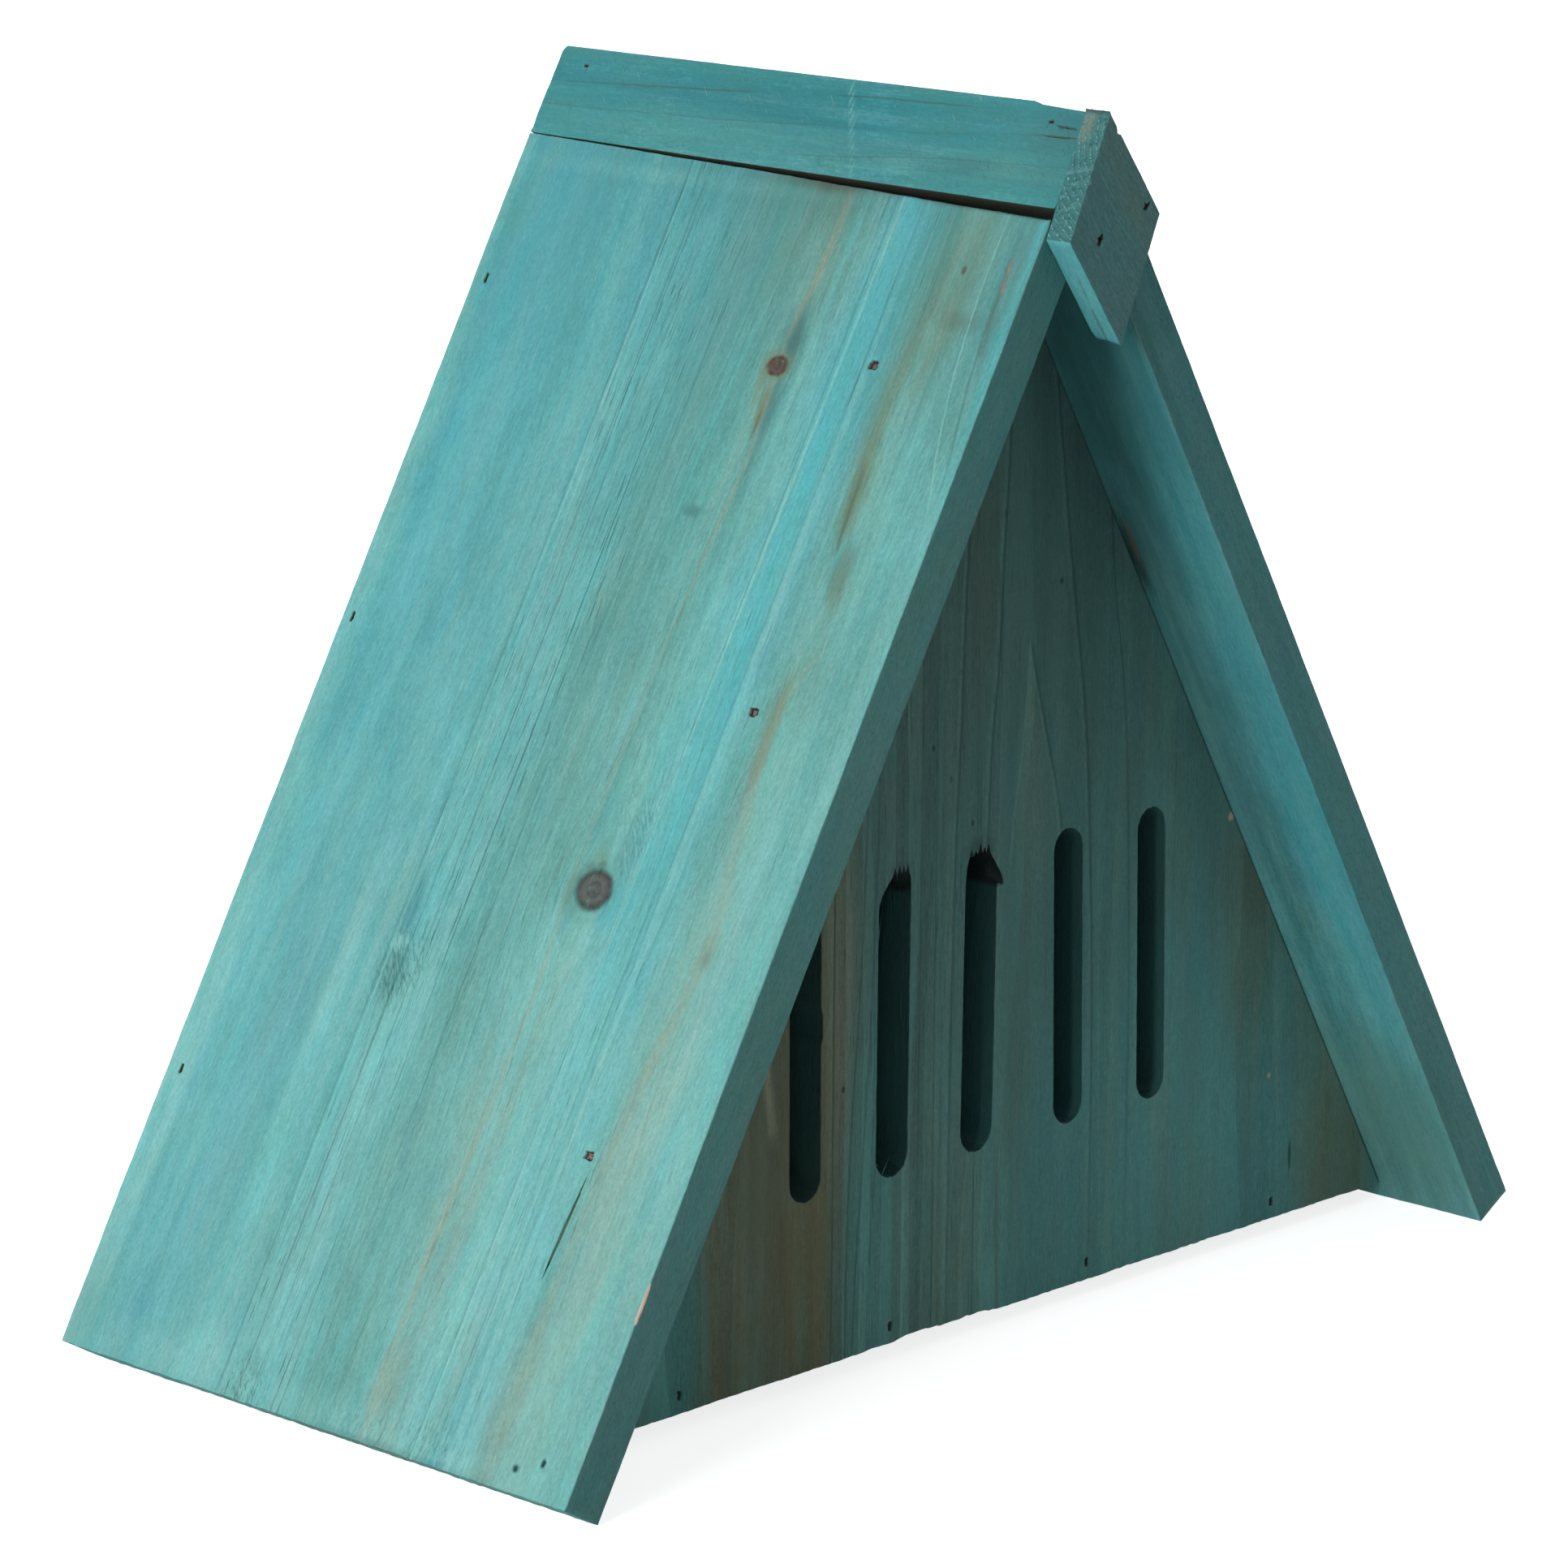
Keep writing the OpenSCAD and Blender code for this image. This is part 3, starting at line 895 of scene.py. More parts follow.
    def torn_grain(self, u, v, long, wide, turn, dark, pale):
        """Short flecks where the planer tore the grain."""
        chips = self.noise(self.turned(turn), (2.2, 0.55, 0.6), 2.0, 0.6, self.seed + u)
        grit = self.swing(self.fibre, 0.9) + self.swing(self.blotch, 1.2)
        mask = self.spot(self.u, self.v, u, v, long, wide, 0.6, grit) * self.near
        self.paint(mask * self.ease(chips, 0.5, 0.38, 0.0, dark), self.wood.line)
        self.paint(mask * self.ease(chips, 0.52, 0.66, 0.0, pale), self.wood.light)
        self.flecks = mask * chips if self.flecks is None else self.flecks + mask * chips

    def streak(self, streak):
        low, high = self.wood.width
        middle = self.along([(u, (v - low) / (high - low)) for u, v in streak.path])
        middle = self.math("MULTIPLY_ADD", middle, high - low, low)
        away = abs(middle - (self.v + self.swing(self.blotch, streak.wander * 3.0))) * (1 / streak.width)
        if streak.widths:
            away = away / self.along(streak.widths)
        mask = self.ease(away + self.swing(self.fibre, 1.3) + self.swing(self.bands, 0.9), 1.25, 0.0)
        if streak.along:
            mask = mask * self.along(streak.along)
        self.paint(mask * self.near * (self.rubbed * streak.strength), streak.colour)

    def knot(self, knot):
        radius = knot.radius
        away = self.distance(self.u - knot.u, (self.v - knot.v) * (1 / knot.stretch))
        grit = self.noise(self.plain, (1.5, 1.5, 3.0), 3.0, 0.65, self.seed + knot.u)
        away = away + self.swing(grit, radius * knot.ragged)
        turned = self.math("FRACT", away * (2.2 / radius))
        self.paint(self.ease(away, radius * 2.3, radius * 0.9) * self.rubbed * 0.6, knot.halo)
        heart = self.blend(self.ease(turned, 0.3, 0.95, 0.0, 0.4), self.colours[knot.heart],
                           self.colours["pit"])
        heart = self.blend(self.ease(grit, 0.54, 0.7, 0.0, 0.4), heart, self.colours["grey"])
        heart = self.blend(self.ease(grit, 0.44, 0.3, 0.0, 0.5), heart, self.colours["pit"])
        self.cover = self.blend(self.ease(away, radius * 1.1, radius * 0.9), self.cover, heart)
        rim = self.ease(away, radius * 0.8, radius) * self.ease(away, radius * 1.3, radius)
        self.paint(rim * 0.6, knot.rim)

    def find_faces(self):
        """The faces by the way they look: sawn ends, long edges and the inner face."""
        normal = self.node("ShaderNodeNewGeometry").outputs["True Normal"]
        lie = self.wood.lie
        self.end = self.ease(abs(self.dot(normal, lie.along)), 0.7, 0.92)
        self.edge = self.ease(abs(self.dot(normal, lie.across)), 0.6, 0.85) * (1.0 - self.end)
        self.inner = self.far * (1.0 - self.math("MAXIMUM", self.edge, self.end))
        self.sawn = self.end
        if self.wood.end_paint:
            far_end = self.wood.reach[1]
            bare = self.ease(self.u, far_end - 7, far_end - 4, 1.0, 1 - self.wood.end_paint)
            self.sawn = self.end * bare

    def sawn_ends(self):
        """End grain: curved rings with pale strands, open pores and, on one board, a stain."""
        wood, board = self.wood, self.cover
        hub_v, hub_w = wood.hub
        self.pores = self.noise(self.plain, (2.0, 0.55, 0.55), 3.0, 0.75, self.seed + 17)
        stray = self.swing(self.blotch, 0.9 * wood.end_wild) + self.swing(self.pores, 0.7 * wood.end_wild)
        arc = self.distance(self.bent + -hub_v, self.w + -hub_w) * (1 / wood.arc_pitch)
        arc = self.math("FRACT", arc + stray)
        self.paint(wood.end_cover, wood.end_colour)
        self.paint(self.ease(arc, 0.2, 0.8, 0.1, 0.6), wood.line)
        strand = self.ease(arc, 0.72, 0.88) * self.ease(arc, 1.0, 0.92)
        self.strand = strand * self.ease(self.pores + self.swing(self.fuzz, 0.8), 0.34, 0.56)
        self.paint(self.strand * wood.end_light, wood.light)
        self.paint(self.ease(self.pores, 0.58, 0.74, 0.0, 0.35), wood.light)
        self.paint(self.ease(self.pores, 0.44, 0.3, 0.0, 0.8), "pit")
        if wood.end_spot:
            u, v, long, wide, colour, strength = wood.end_spot
            grit = self.swing(self.pores, 1.6) + self.swing(self.blotch, 1.0)
            mask = self.spot(self.u, self.v, u, v, long, wide, 0.5, grit)
            mask = mask * self.ease(self.w, wood.thickness * 0.3, wood.thickness * 0.75)
            self.paint(mask * strength, colour)
        self.cover = self.blend(self.sawn, board, self.cover)

    def long_edges(self):
        """Planed edges: their own colour, which is stain on the boards and a painted highlight on the plate,
        dotted, with a dark line along the plate's.
        """
        wood, board = self.wood, self.cover
        self.paint(wood.edge_cover, wood.edge_colour)
        self.paint(self.ease(self.dots, 0.4, 0.24, 0.0, 0.35), wood.line)
        self.paint(self.ease(self.dots, 0.68, 0.82, 0.0, 0.4), wood.light)
        if wood.edge_line:
            deep, from_u = wood.edge_line
            gap = abs(self.w + -deep + self.swing(self.blotch, 5.0))
            gap = gap + self.swing(self.fibre, 1.3) + self.swing(self.pores, 1.0)
            gap = gap + self.ease(self.u, from_u + 4, from_u)
            self.paint(self.ease(gap, 0.45, 0.0, 0.0, 0.65), wood.line)
            self.paint(self.ease(self.blotch, 0.48, 0.64, 0.0, 0.15), wood.light)
        self.cover = self.blend(self.edge * 0.85, board, self.cover)

    def shade_faces(self):
        """How much darker the edges, the ends and the inner face are: heavier stain on the ends, heavier
        stain with painted shade on the edges, and painted shade on the inner face.
        """
        dim = (1, 1, 1, 1)
        for face, dark in ((self.edge, self.wood.edge_dark), (self.sawn, self.wood.end_dark),
                           (self.inner, self.wood.inner_dark)):
            dim = self.blend(face, dim, (dark, dark, dark, 1))
        self.cover = self.blend(1.0, self.cover, dim, "MULTIPLY")

    def chips_and_pits(self):
        """Bare wood where an edge is chipped, and the painted shade of pits, cracks and dark walls with its
        fringe.
        """
        bare = self.amount("ShaderNodeAttribute", attribute_name="bare", output="Fac")
        fresh = self.blend(self.ease(self.lines, 0.35, 0.6, 0.0, 0.5), self.colours["bare"],
                           self.colours["tan"])
        self.cover = self.blend(self.ease(bare + self.swing(self.fuzz, 0.5), 0.4, 0.6), self.cover, fresh)
        # Painted shade from the pit marks: the fringe colour first, then the pit colour
        pit = self.amount("ShaderNodeAttribute", attribute_name="pit", output="Fac")
        pit = pit + self.swing(self.fuzz, 0.2)
        self.paint(self.ease(pit, 0.1, 0.4, 0.0, 0.85), self.wood.fringe)
        self.paint(self.ease(pit, 0.3, 0.75), "pit")

    def light_and_dark(self):
        """The fibres' own light and dark, painted shade along the board, and slow turns of the stain to
        warmer and to bluer.
        """
        wood = self.wood
        tone = self.swing(self.tone, wood.ring_tone) + self.swing(self.fuzz, 0.5 * wood.mottle)
        tone = tone + self.swing(self.fibre, 0.42 * wood.mottle) + self.swing(self.bands, 0.22 * wood.cloud)
        tone = tone + self.swing(self.blotch, 0.24 * wood.mottle) + 1.0
        # Painted shade along the board
        tone = tone * self.along(wood.shade)
        warm = self.noise(self.grain, (52, 4.4, 4.4), 3.0, 0.62, self.seed + 21)
        cool = self.noise(self.plain, (18, 7.0, 7.0), 4.0, 0.66, self.seed + 23)
        red = tone * (self.swing(warm, 0.7 * wood.hue) + self.swing(cool, -0.3 * wood.hue) + 1.0)
        blue = tone * (self.swing(cool, 0.24 * wood.hue) + 1.0)
        tint = self.node("ShaderNodeCombineColor", (red, tone, blue)).outputs[0]
        self.cover = self.blend(1.0, self.cover, tint, "MULTIPLY")

    def fibres(self):
        """The relief of the fibres, the roughness and the shader."""
        height = self.raised * 0.9 - (self.groove + self.late * 0.25)
        height = height + self.fibre * 0.7 + self.fuzz * 0.5
        height = height + self.end * (self.pores + self.strand * 0.5) * 2.2 + self.edge * self.dots * 0.6
        if self.flecks is not None:
            height = height + self.flecks * 1.8
        rough = self.swing(self.lines, 0.25) + 0.72 + self.swing(self.blotch, 0.25) + self.end * 0.12
        self.surface({"Base Color": self.cover, "Roughness": rough}, {"Specular IOR Level": 0.25},
                     (1.0, 0.00014 * self.wood.fuzz_depth, height))


def stained_wood(name, wood):
    """The finish of one board."""
    return Stain(name, wood).material


class LeftRoofWood(Wood):
    seed = 1.0
    stave_lines = ((93.6, 94.0), (38.2, 40.8))
    cyan = ((0, 0.2), (10, 0.15), (20, 0.0), (26, 0.3), (31, 0.8), (34, 0.35), (38, 0.7), (44, 0.35), (52,
        0.05), (70, 0.05), (78, 0.3), (84, 0.55), (92, 0.4), (96, 0.7), (103, 0.6), (113, 0.75), (125, 0.8),
        (133, 0.6), (140, 0.35))
    edge_colour, edge_cover, edge_dark = "teal", 0.5, 0.615
    end_paint = 0.9
    # Gable brown also colours the painted shade on the top end, in the gap under the ridge strip
    fringe = "gable_brown"
    torn = ((153, 41.8, 8, 3.0, -32, 0.28, 0.5), (149, 47.0, 5.5, 1.8, -25, 0.15, 0.45), (188.5, 88.5, 7,
        5.5, -30, 0.45, 0.3), (272, 37, 4.5, 8, 8, 0.35, 0.3), (272.5, 87.5, 4, 5, -15, 0.45, 0.3), (272.5,
        53, 3.5, 6, 10, 0.3, 0.3))
    grey = ((0, 0.45), (10, 0.45), (19, 0.85), (25, 0.3), (33, 0.0), (42, 0.15), (47, 0.55), (57, 0.85), (66,
        0.7), (76, 0.4), (85, 0.05), (94, 0.1), (101, 0.15), (107, 0.0), (132, 0.05), (140, 0.2))
    pale = ((20, -0.1), (60, 0.1), (110, 0.3), (160, 0.45), (220, 0.65), (276, 0.6))
    pale_across = ((0, 0.05), (8, 0.1), (16, 0.2), (25, 0.0), (30, 0.15), (33, -0.1), (37, 0.2), (43, 0.25),
        (50, 0.05), (54, 0.3), (60, -0.15), (70, -0.2), (80, 0.15), (88, 0.25), (94, 0.0), (98, 0.15), (106,
        0.1), (116, -0.1), (126, -0.1), (134, 0.02), (138, 0.35), (140, 0.5))
    shade = ((20, 0.9), (60, 1.0), (120, 1.0), (220, 0.98), (276, 0.96))
    fine_across = ((0, 0.4), (14, 0.5), (28, 0.8), (38, 0.9), (60, 0.7), (78, 1.3), (92, 1.5), (95, 0.3),
        (104, 0.25), (140, 0.12))
    hue = 1.1
    rings = 0.28
    ring_tone = 0.07
    ring_path = ((0, 0), (38, 8), (76, 17), (94, 29), (140, 34))
    ring_drift = 0.9
    streaks = each(Streak, (
        (((22, 50.2), (40, 51), (52, 52.4), (66, 51.6), (76, 51.0), (90, 51.8), (110, 53.2), (140,
            54.2), (160, 54.1), (168, 54.6), (175, 53.8), (190, 53.2), (220, 53.8), (250, 54.5), (276,
            54.3)), 1.35, "tan", 0.52, ((22, 0.0), (30, 0.8), (44, 1.0), (52, 0.7), (68, 0.5), (84, 0.7),
            (100, 0.8), (118, 0.4), (140, 0.3), (168, 0.4), (184, 0.9), (208, 0.7), (230, 0.9), (276, 0.6)),
            0.5, ((22, 1.0), (56, 0.8), (76, 0.5), (140, 0.5), (180, 0.9), (276, 0.8))),
        (((22, 46), (150, 46), (180, 48), (276, 48)), 2.6, "tan", 0.3, ((22, 0.0), (160, 0.0), (176,
            0.6), (230, 0.7), (276, 0.5)), 0.6),
        (((22, 78.2), (276, 78.6)), 0.22, "dark", 0.8, ((22, 0.0), (56, 0.2), (80, 0.6), (140, 0.9),
            (200, 0.5), (276, 0.7))),
        (((22, 71.4), (276, 71.6)), 0.2, "dark", 0.7, ((22, 0.2), (60, 0.7), (120, 0.2), (170, 0.7),
            (276, 0.4))),
        (((22, 92.9), (276, 92.9)), 0.3, "pale", 0.8, ((22, 0.2), (80, 0.8), (150, 0.5), (200, 1.0),
            (276, 0.8))),
        (((22, 84.6), (276, 84.9)), 0.2, "dark", 0.7, ((22, 0.0), (90, 0.6), (130, 0.9), (276, 0.6))),
        (((22, 88.3), (276, 88.7)), 0.2, "dark", 0.7, ((22, 0.0), (80, 0.8), (150, 0.3), (200, 0.9),
            (276, 0.8))),
        (((22, 31.4), (276, 32.4)), 0.22, "dark", 0.6, ((22, 0.2), (90, 0.8), (150, 0.8), (200, 0.2),
            (276, 0.3))),
        (((22, 34.8), (276, 35.4)), 0.22, "dark", 0.6, ((22, 0.6), (60, 0.2), (100, 0.9), (160, 0.6),
            (276, 0.5))),
        (((22, 33.4), (276, 34.2)), 0.3, "pale", 0.9, ((22, 0.0), (150, 0.1), (180, 0.7), (230, 1.0),
            (276, 0.7)), 0.2),
        (((22, 10.2), (50, 9.6), (66, 7.2), (90, 2), (276, 0)), 0.3, "pale", 0.8, ((22, 0.6), (60,
            0.8), (84, 0.3), (90, 0.0), (276, 0.0)), 0.2),
        (((22, 19.5), (40, 20.5), (60, 22), (80, 22), (96, 20), (112, 18), (124, 21), (150, 19), (172,
            16.8), (195, 20), (230, 22.4), (276, 22)), 2.6, "olive", 0.5, ((22, 0.2), (36, 0.6), (60, 0.9),
            (86, 0.9), (93, 0.2), (106, 0.2), (118, 0.5), (170, 0.25), (276, 0.1)), 0.5),
        (((22, 18.5), (40, 19.5), (60, 21), (80, 21), (96, 19), (112, 16.5), (124, 20), (150, 18),
            (172, 15.8), (195, 19), (230, 21.4), (276, 21)), 1.8, "tan", 0.34, ((22, 0.1), (60, 0.3), (88,
            0.3), (94, 0.05), (108, 0.2), (120, 0.7), (160, 0.9), (230, 0.8), (276, 0.5)), 0.5),
        (((22, 22), (70, 22.2), (80, 21.9), (92, 21.2), (110, 20), (276, 20)), 0.75, "brown", 0.55,
            ((22, 0.0), (66, 0.0), (76, 0.4), (84, 1.0), (91, 1.0), (95, 0.0), (276, 0.0))),
        (((22, 35), (120, 34.6), (276, 36)), 4.5, "bright", 0.9, ((22, 0.9), (90, 0.8), (150, 0.5),
            (190, 0.25), (276, 0.2)), 1.0),
        (((22, 30), (120, 30.6), (276, 31)), 1.0, "pale", 0.6, ((22, 0.2), (120, 0.7), (276, 0.9)), 1.0),
        (((22, 46), (120, 46.4), (276, 48)), 1.4, "pale", 0.5, ((22, 0.2), (60, 0.7), (276, 0.5)), 1.0),
        (((22, 43), (190, 43.4), (276, 43.8)), 2.4, "pale", 0.4, ((22, 0.0), (180, 0.0), (200, 0.8),
            (276, 0.8)), 1.0),
        (((22, 36.8), (60, 37.4), (110, 38.8), (276, 40.3)), 0.5, "pale", 1.0, ((22, 0.5), (100, 0.9),
            (276, 1.0))),
        (((22, 6.8), (38, 5.4), (48, 5.6), (80, 2), (276, 1)), 0.4, "dark", 0.6, ((22, 0.1), (44, 0.4),
            (52, 0.8), (76, 0.6), (84, 0.0), (276, 0.0)), 0.2),
        (((22, 6.2), (38, 5.6), (50, 4.6), (276, 4)), 1.1, "brown", 0.6, ((22, 0.0), (30, 0.2), (42,
            0.7), (50, 0.6), (58, 0.0), (276, 0.0)), 0.5),
        (((22, 5.6), (36, 5.4), (42, 4.8), (276, 4.8)), 0.4, "rust", 1.0, ((22, 0.0), (32, 0.0), (33,
            1.0), (34, 0.9), (35.2, 0.1), (36.4, 0.1), (37, 1.0), (38, 0.8), (39.2, 0.0), (276, 0.0)), 0.3),
        (((22, 1.2), (276, 1.2)), 1.6, "bright", 0.8, ((22, 0.9), (50, 0.6), (80, 0.2), (120, 0.0),
            (276, 0.0)), 0.4),
        (((22, 103), (110, 104), (276, 106)), 1.6, "pale", 0.4, ((22, 0.3), (276, 0.6)), 1.0),
        (((22, 113), (170, 112), (196, 112), (206, 112), (276, 112)), 0.7, "pale", 0.5, ((22, 0.0),
            (160, 0.0), (186, 0.8), (204, 0.7), (212, 0.0), (276, 0.0)), 0.4),
    ))
    patches = each(Patch, (
        (34, 8, 24, 12, "dark", 0.22, 0.9),
        (38, 15.5, 18, 4.5, "olive", 0.4, 0.9),
        (32, 54, 20, 12, "olive", 0.25, 0.9),
        (130, 20.4, 12, 1.5, "olive", 0.6, 0.5),
        (96.5, 18.6, 6.0, 2.4, "dark", 0.45, 0.6),
        (98.5, 18.0, 6.0, 2.0, "olive", 0.4, 0.6),
        (80, 21.4, 9, 2.4, "olive", 0.6),
        (84, 21.0, 10, 1.8, "dark", 0.35),
        (154, 43.0, 7, 2.8, "dark", 0.22, 0.7),
        (190.5, 90.0, 4.5, 3.4, "dark", 0.4, 0.6),
        (176, 91.6, 6, 1.6, "ridge_blue", 0.5, 0.7),
        (184.2, 91.0, 1.5, 2.4, "pale", 0.8, 0.5),
        (90, 59.6, 1.2, 2.4, "dark", 0.5, 0.6),
        (172, 15.0, 4.0, 2.6, "brown", 0.3, 0.7),
        (173, 15.4, 1.6, 1.0, "dark", 0.6, 0.7),
        (72, 50.4, 7, 1.6, "dark", 0.3),
        (66, 50.4, 5, 1.5, "dark", 0.5),
        (55.5, 50.2, 4, 1.6, "brown", 0.35),
        (67, 52.4, 5, 1.1, "olive", 0.9, 0.7),
        (52.5, 51.6, 5.5, 2.6, "dark", 0.6),
        (62, 54.8, 5, 1.2, "olive", 0.7),
        (70.5, 52.0, 2.6, 0.4, "brown", 0.45, 0.7),
        (160.4, 48.6, 0.9, 1.3, "brown", 0.85, 0.6),
        (161.6, 51.2, 1.5, 1.4, "brown", 0.8, 0.6),
        (164.4, 52.9, 2.4, 0.8, "brown", 0.65, 0.6),
        (158.6, 50.2, 2.0, 2.2, "olive", 0.4),
        (167, 54.0, 3.6, 1.2, "olive", 0.45),
        (170.5, 52.3, 4.6, 2.0, "dark", 0.3),
        (165.6, 43.8, 1.8, 0.4, "pale", 0.9, 0.6),
        (168.3, 44.9, 1.5, 0.45, "pale", 0.9, 0.6),
        (170.0, 46.8, 0.6, 1.4, "pale", 0.8, 0.6),
        (170.4, 48.8, 0.5, 1.3, "pale", 0.7, 0.6),
        (150, 51.6, 11, 2.0, "teal", 0.6),
        (183, 49.0, 11, 2.0, "pale", 0.45),
        (167, 43.0, 5, 2.6, "bright", 0.9, 0.6),
        (175, 46.0, 5, 1.2, "pale", 0.6, 0.7),
        (23, 60, 6, 26, "dark", 0.2, 0.9),
        (20.6, 58, 2.2, 8, "brown", 0.75),
        (21.4, 40, 1.4, 30, "brown", 0.4),
        (24.5, 104, 1.4, 34, "pale", 0.25, 0.9),
        (225, 12, 62, 15, "pale", 0.3, 0.9),
        (205, 15, 66, 5, "tan", 0.25, 0.9),
        (240, 44, 50, 9, "pale", 0.3, 0.9),
        (245, 118, 46, 9, "cyan", 0.2),
        (269, 99, 6, 6, "pale", 0.7),
        (272, 112, 4, 22, "pale", 0.35),
        (50, 76, 34, 18, "cyan", 0.3, 0.9),
        (267, 53, 8, 3, "tan", 0.4),
        (258, 36.6, 14, 1.6, "tan", 0.35),
        (262, 21, 16, 4, "tan", 0.25, 0.9),
        (275.6, 46, 0.9, 18, "dark", 0.6, 0.7),
        (271.4, 15.0, 0.9, 0.85, "dark", 1.0, 0.35),
        (269.0, 9.0, 1.0, 0.65, "dark", 1.0, 0.35),
        (268, 134, 9, 5, "grey", 0.4),
        (228, 139.4, 50, 1.6, "pale", 0.6),
        (273, 50, 3.5, 46, "pale", 0.4, 0.9),
        (35, 16.0, 1.0, 0.5, "brown", 0.8, 0.4),
        (45, 12, 2.0, 4.5, "brown", 0.35),
        (60, 126, 60, 8, "cyan", 0.5),
        (110, 111, 50, 9, "cyan", 0.2),
        (212, 112, 34, 7, "cyan", 0.15),
    ))
    knots = (Knot(59.0, 52.5, 1.9, 1.25, "knot", "olive"), Knot(165.2, 48.3, 3.7, 1.1, "knot_grey", "grey",
        "pit", 0.25))


class RightRoofWood(Wood):
    lie = RIGHT_ROOF
    seed = 2.3
    stave_lines = ((61.0, 59.6), (110.5, 111.0))
    cyan = ((0, 0.9), (14, 0.9), (26, 0.75), (40, 0.6), (60, 0.5), (63, 0.2), (90, 0.15), (110, 0.3), (113,
        0.75), (130, 0.8), (140, 0.5))
    grey = ((0, 0.0), (25, 0.1), (45, 0.3), (60, 0.45), (80, 0.55), (100, 0.3), (120, 0.05), (140, 0.1))
    pale = ((20, 0.0), (120, 0.25), (200, 0.4), (276, 0.7))
    shade = ((20, 0.92), (100, 1.0), (276, 1.02))
    fine_across = ((0, 0.3), (60, 0.5), (64, 1.0), (110, 1.0), (114, 0.5), (140, 0.5))
    hue = 1.1
    cloud = 1.4
    edge_colour, edge_cover, edge_dark = "teal", 0.6, 0.575
    end_paint = 0.9
    rings = 0.25
    ring_tone = 0.05
    ring_path = ((0, 0), (60, 7), (110, 18), (140, 22))
    streaks = each(Streak, (
        (((22, 84), (90, 85.5), (130, 88.5), (180, 86), (276, 83)), 1.3, "tan", 0.7, ((22, 0.4), (130,
            0.9), (276, 0.8)), 0.4),
        (((22, 33), (120, 30), (276, 34)), 1.0, "dark", 0.4, ((22, 0.6), (150, 0.2), (276, 0.7)), 1.0),
        (((22, 122), (276, 124.5)), 1.2, "pale", 0.6, ((22, 0.2), (276, 0.9)), 1.0),
    ))
    patches = each(Patch, (
        (225, 30, 26, 22, "grey", 0.5),
        (80, 96, 14, 4, "dark", 0.35),
        (150, 20, 40, 8, "bright", 0.4),
        # Painted light and shade on the inner face: brighter and bluer along the front edge, darker near the
        # ridge and towards the gable
        (150, 6, 90, 6, "bright", 0.9, 0.7, True),
        (90, 20, 90, 9, "dark", 0.45, 0.8, True),
        (44, 13, 38, 15, "dark", 0.7, 0.9, True),
        (80, 24, 70, 6, "dark", 0.25, 0.8, True),
        (120, 5, 50, 6, "cyan", 0.5, 0.8, True),
        (252, 14, 26, 18, "grey", 0.8, 0.6, True),
        (96, 22.4, 9, 3.4, "dark", 0.7, 0.8, True),
        (102, 24.2, 9, 1.5, "pit", 0.85, 0.5, True),
        (99, 23.4, 6, 0.8, "rust", 0.22, 0.5, True),
    ))
    knots = (Knot(131.0, 86.5, 3.1, 1.2, "knot_grey", "dark"), Knot(201.0, 47.5, 2.1, 1.1, "knot", "dark"))


